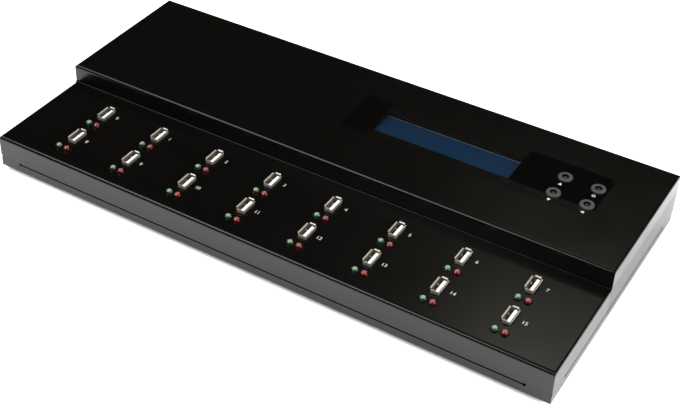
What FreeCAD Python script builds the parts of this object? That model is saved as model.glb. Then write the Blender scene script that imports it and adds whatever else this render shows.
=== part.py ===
import FreeCAD, Part
import math
import os
from FreeCAD import Vector

# USB stick duplicator: a stepped sheet-steel case with sixteen upright sockets on its low front
# deck, and a text display with four push buttons on its high rear deck. All sizes are in mm.
# Depths count back from the front face, and heights count up from the underside of the case.

# Sheet-steel case
CASE_LENGTH = 411.2
CASE_DEPTH = 195.5
CASE_HEIGHT = 38.0
PORT_DECK_DEPTH = 82.3
PORT_DECK_HEIGHT = 24.5
SHEET = 1.0
LONG_BEND_RADIUS = 2.5
HOLLOW_BEND_RADIUS = 1.0
EDGE_RADIUS = 1.8
PAN_BEND_RADIUS = 1.0
CORNER_PIT_RADIUS = 0.9
CORNER_PIT_INSET = 1.0
SHEET_FIT = 0.1
FOOT_HEIGHT = 3.0

# Seam between the cover and the base pan
SEAM_HEIGHT = 7.4
SEAM_GAP = 1.1
SEAM_CORNER_FIT = 0.05
SEAM_CORNER_LENGTH = 17.0
SEAM_SIDE_LENGTH = 19.2
SEAM_RELIEF_RADIUS = 1.1
SEAM_NOTCH_RADIUS = 0.6
SEAM_NOTCH_DROP = 0.4
SEAM_NOTCH_RISE = 2.0
REAR_FLANGE_HEIGHT = 12.0

# Sockets and their lights
PORT_COLUMNS = 8
PORT_PITCH = 46.4
PORT_CENTRE_X = 2.4
FRONT_ROW_DEPTH = 28.8
ROW_PITCH = 31.5
SOCKET_PROUD = 2.2
SHELL_WIDTH = 5.7
SHELL_LENGTH = 13.1
SHELL_HEIGHT = 14.2
SHELL_WALL = 0.3
SHELL_CORNER = 0.6
SHELL_CLEARANCE = 0.8
LIP_CURL_RADIUS = 0.45
LIP_REACH = 0.7
LIP_CORNER_GAP = 0.9
SPRING_SLOT = (1.7, 5.0)
SPRING_SLOT_DROP = 3.0
SPRING_SPACING = 5.8
SPRING_CLEARANCE = 0.2
SPRING_REACH = 0.4
SPRING_KNEE_HEIGHT = 3.9
SPRING_TIP_HEIGHT = 4.6
SPRING_ROOT = 0.5
TONGUE_THICKNESS = 1.84
TONGUE_LENGTH = 11.1
TONGUE_RECESS = 1.4
TONGUE_OFFSET = 0.98
TONGUE_BLOCK_HEIGHT = 3.9
CONTACT_WIDTH = 1.0
CONTACT_THICKNESS = 0.25
CONTACT_OFFSETS = (-3.5, -1.0, 1.0, 3.5)
CONTACT_TIP_DROP = 1.2
LED_RADIUS = 2.5
LED_PROUD = 2.7
LED_LENS_LENGTH = 8.6
LED_CLEARANCE = 0.3
LED_FLANGE_RADIUS = 2.9
LED_FLANGE_HEIGHT = 1.0
LED_LEG = 0.5
LED_LEG_SPACING = 2.54
LED_SPACING = 6.45
LED_SETBACK = 15.0
SPACER_RADIUS = 2.4
SPACER_BORE_RADIUS = 1.8

# Display and its window
DISPLAY_INSET = 142.5
DISPLAY_DEPTH = 142.1
WINDOW_LENGTH = 101.0
WINDOW_WIDTH = 23.6
WINDOW_MARGIN = 4.0
WINDOW_THICKNESS = 1.5
WINDOW_CORNER = 0.6
OVERLAY_THICKNESS = 0.25
OVERLAY_LEFT = 21.0
OVERLAY_FRONT = 6.6
OVERLAY_BACK = 12.4
OVERLAY_BUTTON_MARGIN = 6.2
OVERLAY_CORNER = 4.0
GASKET_THICKNESS = 1.0
GLASS_MARGIN = 1.0
GLASS_THICKNESS = 2.2
BEZEL_WALL = 0.5
BEZEL_FIT = 0.2
BACKLIGHT_THICKNESS = 5.8
BOARD_THICKNESS = 1.6
LCD_BOARD_LENGTH = 122.0
LCD_BOARD_WIDTH = 44.0

# Push buttons
BUTTON_INSET = 50.2
BUTTON_DEPTH = 142.0
BUTTON_PITCH_X = 22.6
BUTTON_PITCH_DEPTH = 19.0
BUTTON_RADIUS = 4.8
BUTTON_PROUD = 0.9
BUTTON_EDGE = 0.6
BUTTON_CLEARANCE = 0.4
BUTTON_DISH_RADIUS = 1.9
BUTTON_DISH_DEPTH = 1.2
BUTTON_PIP_RADIUS = 0.7
BUTTON_PIP_HEIGHT = 0.6
BUTTON_SKIRT_RADIUS = 5.8
BUTTON_SKIRT_HEIGHT = 1.0
BUTTON_TRAVEL = 0.5
STEM_RADIUS = 1.7
STEM_FIT = 0.1
SWITCH_SIDE = 12.0
SWITCH_HEIGHT = 3.8
SWITCH_FLOOR = 0.8
KEYPAD_DROP = 10.0
KEYPAD_BOARD_LENGTH = 50.0
KEYPAD_BOARD_WIDTH = 40.0

# Boards, stand-offs and screws
BOARD_GAP = 2.0
BOARD_FRONT = 6.0
PORT_BOARD_WIDTH = 70.0
MAIN_BOARD_INSET = 83.0
MAIN_BOARD_LENGTH = 192.0
MAIN_BOARD_FRONT = 96.5
BOARD_HOLE_INSET = 4.0
BOARD_HOLE_RADIUS = 1.6
STANDOFF_RADIUS = 3.0
DECK_STANDOFF_RADIUS = 2.5
SCREW_RADIUS = 1.4
SCREW_HOLE_RADIUS = 1.5
SCREW_CLEARANCE_RADIUS = 1.7
SCREW_LENGTH = 5.0
SCREW_HEAD_RADIUS = 2.6
SCREW_HEAD_HEIGHT = 1.8
SCREW_RECESS = (0.6, 2.8, 0.9)
BRACKET_WIDTH = 16.0
BRACKET_LEG = 14.0
BRACKET_HEIGHT = 17.0
BRACKET_SHEET = 1.2
BRACKET_DEPTHS = (40.0, 150.0)
REAR_SCREW_INSET = 15.0
HEADER_WIDTH = 6.0
HEADER_HEIGHT = 6.0
RIBBON_THICKNESS = 1.0
RIBBON_BEND = 2.0
RIBBON_WIDTH = 34.0

# Parts on the main board
CHIP_SIDE = 22.0
CHIP_HEIGHT = 1.6
CHIP_INSET = 50.0
CHIP_DEPTH = 120.5
HEATSINK_SIDE = 24.0
HEATSINK_BASE = 1.6
HEATSINK_HEIGHT = 8.0
HEATSINK_FINS = 7
FIN_THICKNESS = 1.2
MEMORY_LENGTH = 18.0
MEMORY_WIDTH = 10.0
MEMORY_HEIGHT = 1.1
HUB_SIDE = 9.0
CAPACITOR_RADIUS = 3.15
CAPACITOR_HEIGHT = 7.7
INDUCTOR_SIDE = 10.0
INDUCTOR_HEIGHT = 4.5
BEEPER_RADIUS = 6.0
BEEPER_HEIGHT = 8.5
BEEPER_HOLE_RADIUS = 1.0

# Back panel: power socket, power switch and vents
JACK_INSET = 109.0
JACK_WIDTH = 9.0
JACK_HEIGHT = 11.0
JACK_LENGTH = 14.0
JACK_BORE_RADIUS = 3.2
JACK_BORE_DEPTH = 9.5
JACK_PIN_RADIUS = 1.05
JACK_AXIS_RISE = 6.5
JACK_WINDOW_CLEARANCE = 0.6
SWITCH_INSET = 95.0
SWITCH_AXIS_HEIGHT = 13.5
SWITCH_BEZEL_LENGTH = 21.0
SWITCH_BEZEL_WIDTH = 15.0
SWITCH_BEZEL_THICKNESS = 2.0
SWITCH_BODY_LENGTH = 19.4
SWITCH_BODY_WIDTH = 12.8
SWITCH_BODY_DEPTH = 14.0
SWITCH_PANEL_CLEARANCE = 0.2
ROCKER_WIDTH = 10.4
ROCKER_RADIUS = 8.4
ROCKER_TILT = 10.0
ROCKER_END_ANGLE = 35.0
ROCKER_PIVOT_DEPTH = 3.4
ROCKER_VALLEY_RISE = 4.2
ROCKER_GAP = 0.3
ROCKER_HUB_DEPTH = 2.0
AXLE_RADIUS = 1.2
AXLE_FIT = 0.08
AXLE_REACH = 0.6
TERMINAL_THICKNESS = 0.8
TERMINAL_WIDTH = 6.3
TERMINAL_LENGTH = 7.0
TERMINAL_SPACING = 9.0
WIRE_RADIUS = 0.8
WIRE_BEND = 4.0
POWER_HEADER_LENGTH = 14.0
VENT_INSET = 185.0
VENT_COUNT = 9
VENT_PITCH = 6.0
VENT_WIDTH = 2.4
VENT_HEIGHT = 12.0
VENT_BOTTOM = 9.0

# Feet
FOOT_RADIUS = 6.0
FOOT_TAPER = 0.8
FOOT_INSET = 20.0
FOOT_DISH_RADIUS = 3.0
FOOT_DISH_DEPTH = 1.0

# Places that follow from the sizes above
HALF_LENGTH = CASE_LENGTH / 2
DISPLAY_X = HALF_LENGTH - DISPLAY_INSET
BUTTON_X = HALF_LENGTH - BUTTON_INSET
JACK_X = HALF_LENGTH - JACK_INSET
VENT_X = HALF_LENGTH - VENT_INSET
SWITCH_X = SWITCH_INSET - HALF_LENGTH
MAIN_BOARD_RIGHT = HALF_LENGTH - MAIN_BOARD_INSET
MAIN_BOARD_LEFT = MAIN_BOARD_RIGHT - MAIN_BOARD_LENGTH
CHIP_X = MAIN_BOARD_LEFT + CHIP_INSET
REAR_SCREW_XS = (REAR_SCREW_INSET - HALF_LENGTH, 0.0, HALF_LENGTH - REAR_SCREW_INSET)
REAR_WALL_DEPTH = CASE_DEPTH - SHEET - SHEET_FIT
REAR_INNER_DEPTH = REAR_WALL_DEPTH - SHEET
REAR_WALL_TOP = CASE_HEIGHT - LONG_BEND_RADIUS - SHEET_FIT
ROCKER_PIVOT = REAR_WALL_DEPTH + SWITCH_BEZEL_THICKNESS - ROCKER_PIVOT_DEPTH
ROCKER_REACH = ROCKER_RADIUS * math.sin(math.radians(ROCKER_END_ANGLE + ROCKER_TILT))
REAR_PROUD = max(ROCKER_PIVOT + ROCKER_REACH - CASE_DEPTH, SCREW_HEAD_HEIGHT)
FRONT_Y = -(CASE_DEPTH + REAR_PROUD) / 2
SOCKET_RIM = PORT_DECK_HEIGHT + SOCKET_PROUD
BOARD_TOP = SOCKET_RIM - SHELL_HEIGHT
BOARD_UNDER = BOARD_TOP - BOARD_THICKNESS
DECK_UNDER = CASE_HEIGHT - SHEET
OVERLAY_TOP = CASE_HEIGHT + OVERLAY_THICKNESS
WINDOW_UNDER = DECK_UNDER - WINDOW_THICKNESS
BEZEL_TOP = WINDOW_UNDER - GASKET_THICKNESS
GLASS_TOP = BEZEL_TOP - BEZEL_WALL
BACKLIGHT_TOP = GLASS_TOP - GLASS_THICKNESS
LCD_BOARD_TOP = BACKLIGHT_TOP - BACKLIGHT_THICKNESS
LCD_BOARD_UNDER = LCD_BOARD_TOP - BOARD_THICKNESS
KEYPAD_TOP = DECK_UNDER - KEYPAD_DROP
KEYPAD_UNDER = KEYPAD_TOP - BOARD_THICKNESS
SKIRT_TOP = DECK_UNDER - SHEET_FIT
HEADER_MIDDLE = BOARD_TOP + HEADER_HEIGHT / 2
PORT_BOARD_BACK = BOARD_FRONT + PORT_BOARD_WIDTH
PORT_BOARD_LENGTH = PORT_COLUMNS / 2 * PORT_PITCH - BOARD_GAP


def port_places():
    """Socket centres, rear row first, left to right."""
    first_x = PORT_CENTRE_X - PORT_PITCH * (PORT_COLUMNS - 1) / 2
    return [(first_x + PORT_PITCH * column, FRONT_ROW_DEPTH + ROW_PITCH * row)
            for row in (1, 0) for column in range(PORT_COLUMNS)]


def light_places(side):
    """Light centres in front of each socket, at its left (-1) or right (1)."""
    return [(x + side * LED_SPACING / 2, depth - LED_SETBACK) for x, depth in port_places()]


def button_places():
    """Button centres by name."""
    left = BUTTON_X - BUTTON_PITCH_X / 2
    front = BUTTON_DEPTH - BUTTON_PITCH_DEPTH / 2
    return {"button_up": (left, front + BUTTON_PITCH_DEPTH),
            "button_down": (left, front),
            "button_ok": (left + BUTTON_PITCH_X, front + BUTTON_PITCH_DEPTH),
            "button_back": (left + BUTTON_PITCH_X, front)}


def at(x, depth, height):
    """A place on the case, given by its depth and height, in the part's frame."""
    return Vector(x, FRONT_Y + depth, FOOT_HEIGHT + height)


def block(x_range, depth_range, height_range):
    low = at(x_range[0], depth_range[0], height_range[0])
    high = at(x_range[1], depth_range[1], height_range[1])
    size = high - low
    return Part.makeBox(size.x, size.y, size.z, low)


def centred(middle, size):
    return (middle - size / 2, middle + size / 2)


def post(x, depth, height_range, radius):
    low, high = height_range
    return Part.makeCylinder(radius, high - low, at(x, depth, low))


def rod_back(x, height, depth_range, radius):
    """A rod along the depth of the case."""
    near, far = depth_range
    return Part.makeCylinder(radius, far - near, at(x, near, height), Vector(0, 1, 0))


def rod_across(x_range, depth, height, radius):
    """A rod along the length of the case."""
    return Part.makeCylinder(radius, x_range[1] - x_range[0], at(x_range[0], depth, height),
                             Vector(1, 0, 0))


def rounded_face(corners):
    """A flat face through (point, radius) corners, each corner an arc where its radius is not 0."""
    runs = []
    for index, (point, radius) in enumerate(corners):
        to_last = (corners[index - 1][0] - point).normalize()
        to_next = (corners[(index + 1) % len(corners)][0] - point).normalize()
        if radius <= 0:
            runs.append((point, point, None))
            continue
        half_turn = to_last.getAngle(to_next) / 2
        reach = radius / math.tan(half_turn)
        bisector = (to_last + to_next).normalize()
        middle = point + bisector * (radius / math.sin(half_turn) - radius)
        runs.append((point + to_last * reach, point + to_next * reach, middle))
    edges = []
    for index, (start, end, middle) in enumerate(runs):
        if middle:
            edges.append(Part.Arc(start, middle, end).toShape())
        following = runs[(index + 1) % len(runs)][0]
        if (following - end).Length > 1e-6:
            edges.append(Part.makeLine(end, following))
    return Part.Face(Part.Wire(edges))


def rounded_plate(x, depth, length, width, radius, height_range):
    """A flat plate with rounded corners: length along X, width along the depth."""
    low, high = height_range
    corners = [(at(x + sx * length / 2, depth + sy * width / 2, low), radius)
               for sx, sy in ((-1, -1), (1, -1), (1, 1), (-1, 1))]
    return rounded_face(corners).extrude(Vector(0, 0, high - low))


def rounded_panel(x, height, length, width, radius, depth_range):
    """The same, standing up: length along X, width along the height."""
    near, far = depth_range
    corners = [(at(x + sx * length / 2, near, height + sz * width / 2), radius)
               for sx, sz in ((-1, -1), (1, -1), (1, 1), (-1, 1))]
    return rounded_face(corners).extrude(Vector(0, far - near, 0))


def cut_all(body, tools):
    return body.cut(Part.makeCompound(tools)) if tools else body


def joined(shapes):
    return shapes[0].multiFuse(shapes[1:]).removeSplitter()


def rounded_edges(body, radius, chosen):
    return body.makeFillet(radius, [edge for edge in body.Edges if chosen(edge)])


def stepped_block(inset, bottom):
    """The stepped outline of the case, inset on every side, as one solid."""
    x = -HALF_LENGTH + inset
    outer = max(LONG_BEND_RADIUS - inset, 0)
    corners = [(at(x, inset, bottom), 0),
               (at(x, inset, PORT_DECK_HEIGHT - inset), outer),
               (at(x, PORT_DECK_DEPTH + inset, PORT_DECK_HEIGHT - inset),
                HOLLOW_BEND_RADIUS + inset),
               (at(x, PORT_DECK_DEPTH + inset, CASE_HEIGHT - inset), outer),
               (at(x, CASE_DEPTH - inset, CASE_HEIGHT - inset), outer),
               (at(x, CASE_DEPTH - inset, bottom), 0)]
    return rounded_face(corners).extrude(Vector(CASE_LENGTH - 2 * inset, 0, 0))


def bent_ends(inset, bottom):
    """Both decks' outline seen from the front, inset, with the bends at the case's two ends."""
    half = HALF_LENGTH - inset
    bend = max(EDGE_RADIUS - inset, 0)
    riser = PORT_DECK_DEPTH - HOLLOW_BEND_RADIUS
    outlines = []
    for near, top in ((0, PORT_DECK_HEIGHT - inset), (riser, CASE_HEIGHT - inset)):
        corners = [(at(-half, near, bottom), 0), (at(half, near, bottom), 0),
                   (at(half, near, top), bend), (at(-half, near, top), bend)]
        outlines.append(rounded_face(corners).extrude(Vector(0, CASE_DEPTH - near, 0)))
    return joined(outlines)


def seam_relief_holes():
    """Round holes that end the slit on the front and on both sides."""
    height = SEAM_HEIGHT - SEAM_GAP / 2
    reach = SHEET * 2
    ends = (SEAM_SIDE_LENGTH, REAR_WALL_DEPTH - SEAM_SIDE_LENGTH)
    holes = []
    for side in (-1, 1):
        x = side * (HALF_LENGTH - SEAM_CORNER_LENGTH)
        holes.append(rod_back(x, height, (-SHEET, reach), SEAM_RELIEF_RADIUS))
        for depth in ends:
            middle = side * HALF_LENGTH
            holes.append(rod_across((middle - reach, middle + reach), depth, height,
                                    SEAM_RELIEF_RADIUS))
    return holes


def deck_openings():
    """Holes in the cover for the sockets, lights, display window and buttons."""
    length = SHELL_LENGTH + 2 * SHELL_CLEARANCE
    width = SHELL_WIDTH + 2 * SHELL_CLEARANCE
    port_range = (PORT_DECK_HEIGHT - 2 * SHEET, PORT_DECK_HEIGHT + SHEET)
    deck_range = (CASE_HEIGHT - 2 * SHEET, CASE_HEIGHT + SHEET)
    holes = [rounded_plate(x, depth, width, length, SHELL_CORNER, port_range)
             for x, depth in port_places()]
    holes += [post(x, depth, port_range, LED_RADIUS + LED_CLEARANCE)
              for x, depth in light_places(-1) + light_places(1)]
    holes.append(rounded_plate(DISPLAY_X, DISPLAY_DEPTH, WINDOW_LENGTH, WINDOW_WIDTH,
                               WINDOW_CORNER, deck_range))
    holes += [post(x, depth, deck_range, BUTTON_RADIUS + BUTTON_CLEARANCE)
              for x, depth in button_places().values()]
    return holes


def corner_pits():
    """A pit where the riser's top bend meets each end, and a notch at the seam below the front."""
    pits = []
    for side in (-1, 1):
        pits.append(Part.makeSphere(CORNER_PIT_RADIUS,
                                    at(side * (HALF_LENGTH - CORNER_PIT_INSET),
                                       PORT_DECK_DEPTH + CORNER_PIT_INSET / 2,
                                       CASE_HEIGHT - CORNER_PIT_INSET)))
        pits.append(post(side * HALF_LENGTH, 0,
                         (SEAM_HEIGHT - SEAM_NOTCH_DROP, SEAM_HEIGHT + SEAM_NOTCH_RISE),
                         SEAM_NOTCH_RADIUS))
    return pits


def rear_screw_height():
    return CASE_HEIGHT - REAR_FLANGE_HEIGHT / 2 - SHEET / 2


def top_cover():
    inside = HALF_LENGTH - SHEET
    floor = SEAM_HEIGHT - SHEET
    outer = stepped_block(0, SEAM_HEIGHT).common(bent_ends(0, SEAM_HEIGHT))
    inner = stepped_block(SHEET, floor).common(bent_ends(SHEET, floor))
    below_flange = block((-inside, inside), (CASE_DEPTH - 2 * SHEET, CASE_DEPTH + SHEET),
                         (floor, CASE_HEIGHT - REAR_FLANGE_HEIGHT))
    flange_holes = [rod_back(x, rear_screw_height(), (REAR_WALL_DEPTH, CASE_DEPTH + SHEET),
                             SCREW_CLEARANCE_RADIUS) for x in REAR_SCREW_XS]
    return cut_all(outer, [inner, below_flange] + deck_openings() + corner_pits()
                   + seam_relief_holes() + flange_holes)


def vent_slots():
    x_first = VENT_X - VENT_PITCH * (VENT_COUNT - 1) / 2
    return [rounded_panel(x_first + VENT_PITCH * index, VENT_BOTTOM + VENT_HEIGHT / 2, VENT_WIDTH,
                          VENT_HEIGHT, VENT_WIDTH / 2 - 0.01,
                          (REAR_INNER_DEPTH - SHEET, REAR_WALL_DEPTH + SHEET))
            for index in range(VENT_COUNT)]


def jack_height():
    return BOARD_TOP + JACK_AXIS_RISE


def base_pan():
    top = SEAM_HEIGHT - SEAM_CORNER_FIT
    slit_floor = SEAM_HEIGHT - SEAM_GAP
    inside = HALF_LENGTH - SHEET
    pan = block((-HALF_LENGTH, HALF_LENGTH), (0, REAR_WALL_DEPTH), (0, top))
    pan = rounded_edges(pan, PAN_BEND_RADIUS,
                        lambda edge: edge.BoundBox.ZMax < FOOT_HEIGHT + 1e-6)
    hollow = block((-inside, inside), (SHEET, REAR_INNER_DEPTH), (SHEET, top + SHEET))
    wall_reach = inside - SHEET_FIT
    rear_wall = block((-wall_reach, wall_reach), (REAR_INNER_DEPTH, REAR_WALL_DEPTH),
                      (SHEET / 2, REAR_WALL_TOP))
    slit_range = (slit_floor, top + SHEET)
    front_slit = HALF_LENGTH - SEAM_CORNER_LENGTH
    slits = [block((-front_slit, front_slit), (-SHEET, SHEET), slit_range)]
    for side in (-1, 1):
        middle = side * HALF_LENGTH
        slits.append(block(centred(middle, 2 * SHEET),
                           (SEAM_SIDE_LENGTH, REAR_WALL_DEPTH - SEAM_SIDE_LENGTH),
                           slit_range))
    through = (REAR_INNER_DEPTH - SHEET, REAR_WALL_DEPTH + SHEET)
    holes = [rod_back(x, rear_screw_height(), through, SCREW_HOLE_RADIUS)
             for x in REAR_SCREW_XS]
    holes.append(rod_back(JACK_X, jack_height(), through,
                          JACK_BORE_RADIUS + JACK_WINDOW_CLEARANCE))
    holes.append(rounded_panel(SWITCH_X, SWITCH_AXIS_HEIGHT,
                               SWITCH_BODY_LENGTH + 2 * SWITCH_PANEL_CLEARANCE,
                               SWITCH_BODY_WIDTH + 2 * SWITCH_PANEL_CLEARANCE, 0, through))
    holes += [post(x, depth, (-SHEET, 2 * SHEET), SCREW_CLEARANCE_RADIUS)
              for x, depth in bracket_screws()]
    shell = joined([cut_all(pan, [hollow] + slits), rear_wall])
    return cut_all(shell, holes + vent_slots() + seam_relief_holes() + corner_pits())


def bracket_screws():
    """Screws that come up through the base pan into the cover's brackets."""
    reach = HALF_LENGTH - SHEET - BRACKET_LEG / 2
    return [(side * reach, depth) for side in (-1, 1) for depth in BRACKET_DEPTHS]


def cover_brackets():
    """Angle brackets, spot-welded inside the cover's ends, that stand on the base pan."""
    wall = HALF_LENGTH - SHEET
    brackets = []
    for side in (-1, 1):
        for depth in BRACKET_DEPTHS:
            span = centred(depth, BRACKET_WIDTH)
            leg_x = sorted((side * wall, side * (wall - BRACKET_SHEET)))
            foot_x = sorted((side * wall, side * (wall - BRACKET_LEG)))
            leg = block(leg_x, span, (SHEET, SHEET + BRACKET_HEIGHT))
            foot = block(foot_x, span, (SHEET, SHEET + BRACKET_SHEET))
            hole = post(side * (wall - BRACKET_LEG / 2), depth, (0, SHEET + 2 * BRACKET_SHEET),
                        SCREW_HOLE_RADIUS)
            brackets.append(leg.fuse(foot).removeSplitter().cut(hole))
    return Part.makeCompound(brackets)


def curled_lip(middle, outward, along, length):
    """A strip of shell wall that curls outwards at the rim, its wall's outer face at middle."""
    wall = middle - outward * SHELL_WALL
    up = Vector(0, 0, LIP_CURL_RADIUS)
    over = Vector(0, 0, SHELL_WALL)
    tip = middle + outward * LIP_REACH + up
    outline = [(wall, 0), (wall + up + over, LIP_CURL_RADIUS + SHELL_WALL), (tip + over, 0),
               (tip, 0), (middle + up, LIP_CURL_RADIUS), (middle, 0)]
    strip = rounded_face(outline)
    strip.translate(along * (-length / 2))
    return strip.extrude(along * length)


def spring_finger(root, inward):
    """A finger of shell wall that leans inwards from the foot of its slot up to a knee."""
    width = SPRING_SLOT[0] - 2 * SPRING_CLEARANCE
    back = [(root - Vector(0, 0, SPRING_ROOT), 0),
            (root + inward * SPRING_REACH + Vector(0, 0, SPRING_KNEE_HEIGHT), SHELL_WALL),
            (root + Vector(0, 0, SPRING_TIP_HEIGHT), 0)]
    face = [(point + inward * SHELL_WALL, 2 * radius) for point, radius in reversed(back)]
    strip = rounded_face(back + face)
    strip.translate(Vector(0, -width / 2, 0))
    return strip.extrude(Vector(0, width, 0))


def usb_shell(x, depth):
    """A drawn steel shell, open at the mouth, with four lips that curl outwards."""
    lip_start = SOCKET_RIM - LIP_CURL_RADIUS - SHELL_WALL
    inner_width = SHELL_WIDTH - 2 * SHELL_WALL
    inner_length = SHELL_LENGTH - 2 * SHELL_WALL
    tube = rounded_plate(x, depth, SHELL_WIDTH, SHELL_LENGTH, SHELL_CORNER,
                         (BOARD_TOP, lip_start))
    bore = rounded_plate(x, depth, inner_width, inner_length, SHELL_CORNER - SHELL_WALL,
                         (BOARD_TOP - SHEET, SOCKET_RIM))
    slot_width, slot_height = SPRING_SLOT
    slot_top = SOCKET_RIM - SPRING_SLOT_DROP
    slot_depths = centred(depth, SPRING_SPACING)
    slots = [block(centred(x, 2 * SHELL_WIDTH), centred(middle, slot_width),
                   (slot_top - slot_height, slot_top)) for middle in slot_depths]
    springs = [spring_finger(at(x + side * SHELL_WIDTH / 2, middle, slot_top - slot_height),
                             Vector(-side, 0, 0)) for side in (-1, 1) for middle in slot_depths]
    lips = []
    for side in (-1, 1):
        lips.append(curled_lip(at(x + side * SHELL_WIDTH / 2, depth, lip_start),
                               Vector(side, 0, 0), Vector(0, 1, 0),
                               SHELL_LENGTH - 2 * LIP_CORNER_GAP))
        lips.append(curled_lip(at(x, depth + side * SHELL_LENGTH / 2, lip_start),
                               Vector(0, side, 0), Vector(1, 0, 0),
                               SHELL_WIDTH - 2 * LIP_CORNER_GAP))
    return joined([cut_all(tube, [bore] + slots)] + lips + springs)


def tongue_top():
    return SOCKET_RIM - TONGUE_RECESS


def usb_insulators():
    """White moulded blocks, each with the tongue that carries a socket's contacts."""
    block_width = SHELL_WIDTH - 2 * SHELL_WALL - 2 * SHEET_FIT
    block_length = SHELL_LENGTH - 2 * SHELL_WALL - 2 * SHEET_FIT
    mouldings = []
    for x, depth in port_places():
        foot = rounded_plate(x, depth, block_width, block_length, SHELL_CORNER / 2,
                             (BOARD_TOP, BOARD_TOP + TONGUE_BLOCK_HEIGHT))
        tongue = block(centred(x + TONGUE_OFFSET, TONGUE_THICKNESS),
                       centred(depth, TONGUE_LENGTH), (BOARD_TOP, tongue_top()))
        mouldings.append(foot.fuse(tongue).removeSplitter())
    return Part.makeCompound(mouldings)


def usb_contacts():
    """Four gilt contact strips on the open side of each tongue."""
    strips = []
    for x, depth in port_places():
        face = x + TONGUE_OFFSET - TONGUE_THICKNESS / 2
        for offset in CONTACT_OFFSETS:
            strips.append(block((face - CONTACT_THICKNESS, face),
                                centred(depth + offset, CONTACT_WIDTH),
                                (BOARD_TOP + TONGUE_BLOCK_HEIGHT,
                                 tongue_top() - CONTACT_TIP_DROP)))
    return Part.makeCompound(strips)


def led_range():
    top = PORT_DECK_HEIGHT + LED_PROUD
    return top - LED_LENS_LENGTH, top


def led(x, depth):
    """A domed light with a foot flange and two legs that stand on the port board."""
    bottom, top = led_range()
    barrel = post(x, depth, (bottom, top - LED_RADIUS), LED_RADIUS)
    dome = Part.makeSphere(LED_RADIUS, at(x, depth, top - LED_RADIUS))
    flange = post(x, depth, (bottom, bottom + LED_FLANGE_HEIGHT), LED_FLANGE_RADIUS)
    legs = [block(centred(x + side * LED_LEG_SPACING / 2, LED_LEG), centred(depth, LED_LEG),
                  (BOARD_TOP, bottom + LED_FLANGE_HEIGHT / 2)) for side in (-1, 1)]
    return joined([barrel, dome, flange] + legs)


def leds(side):
    return Part.makeCompound([led(x, depth) for x, depth in light_places(side)])


def led_spacers():
    """Black tubes round the legs that hold each light up against the deck."""
    tubes = []
    for x, depth in light_places(-1) + light_places(1):
        tube = post(x, depth, (BOARD_TOP, led_range()[0]), SPACER_RADIUS)
        bore = post(x, depth, (BOARD_TOP - SHEET, led_range()[0] + SHEET), SPACER_BORE_RADIUS)
        tubes.append(tube.cut(bore))
    return Part.makeCompound(tubes)


def overlay_range():
    """Ends of the printed film along the case's length, and its front and back."""
    right = BUTTON_X + BUTTON_PITCH_X / 2 + OVERLAY_BUTTON_MARGIN
    left = DISPLAY_X - WINDOW_LENGTH / 2 - OVERLAY_LEFT
    front = DISPLAY_DEPTH - WINDOW_WIDTH / 2 - OVERLAY_FRONT
    back = DISPLAY_DEPTH + WINDOW_WIDTH / 2 + OVERLAY_BACK
    return left, right, front, back


def display_overlay():
    left, right, front, back = overlay_range()
    film = rounded_plate((left + right) / 2, (front + back) / 2, right - left, back - front,
                         OVERLAY_CORNER, (CASE_HEIGHT, OVERLAY_TOP))
    through = (CASE_HEIGHT - SHEET, OVERLAY_TOP + SHEET)
    holes = [rounded_plate(DISPLAY_X, DISPLAY_DEPTH, WINDOW_LENGTH, WINDOW_WIDTH,
                           WINDOW_CORNER, through)]
    holes += [post(x, depth, through, BUTTON_RADIUS + BUTTON_CLEARANCE)
              for x, depth in button_places().values()]
    return cut_all(film, holes)


def display_window():
    return rounded_plate(DISPLAY_X, DISPLAY_DEPTH, WINDOW_LENGTH + 2 * WINDOW_MARGIN,
                         WINDOW_WIDTH + 2 * WINDOW_MARGIN, WINDOW_CORNER,
                         (WINDOW_UNDER, DECK_UNDER))


def display_gasket():
    """A foam frame between the window and the display's steel frame."""
    length, width = bezel_size()
    frame = rounded_plate(DISPLAY_X, DISPLAY_DEPTH, length, width, WINDOW_CORNER,
                          (BEZEL_TOP, WINDOW_UNDER))
    view = block(centred(DISPLAY_X, WINDOW_LENGTH), centred(DISPLAY_DEPTH, WINDOW_WIDTH),
                 (BEZEL_TOP - SHEET, WINDOW_UNDER + SHEET))
    return frame.cut(view)


def glass_size():
    return WINDOW_LENGTH + 2 * GLASS_MARGIN, WINDOW_WIDTH + 2 * GLASS_MARGIN


def bezel_size():
    length, width = glass_size()
    grow = 2 * (BEZEL_WALL + BEZEL_FIT)
    return length + grow, width + grow


def lcd_glass():
    length, width = glass_size()
    return block(centred(DISPLAY_X, length), centred(DISPLAY_DEPTH, width),
                 (BACKLIGHT_TOP, GLASS_TOP))


def lcd_backlight():
    length, width = glass_size()
    return block(centred(DISPLAY_X, length), centred(DISPLAY_DEPTH, width),
                 (LCD_BOARD_TOP, BACKLIGHT_TOP))


def lcd_bezel():
    """A folded steel frame that clamps the glass and its light box to the display board."""
    length, width = glass_size()
    can = rounded_plate(DISPLAY_X, DISPLAY_DEPTH, *bezel_size(), WINDOW_CORNER,
                        (LCD_BOARD_TOP, BEZEL_TOP))
    hollow = block(centred(DISPLAY_X, length + 2 * BEZEL_FIT),
                   centred(DISPLAY_DEPTH, width + 2 * BEZEL_FIT),
                   (LCD_BOARD_TOP - SHEET, GLASS_TOP))
    view = block(centred(DISPLAY_X, WINDOW_LENGTH), centred(DISPLAY_DEPTH, WINDOW_WIDTH),
                 (GLASS_TOP - SHEET, BEZEL_TOP + SHEET))
    return cut_all(can, [hollow, view])


def corner_places(x, depth, length, width):
    """Screw places near the four corners of a board."""
    reach_x = length / 2 - BOARD_HOLE_INSET
    reach_y = width / 2 - BOARD_HOLE_INSET
    return [(x + sx * reach_x, depth + sy * reach_y) for sx in (-1, 1) for sy in (-1, 1)]


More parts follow.
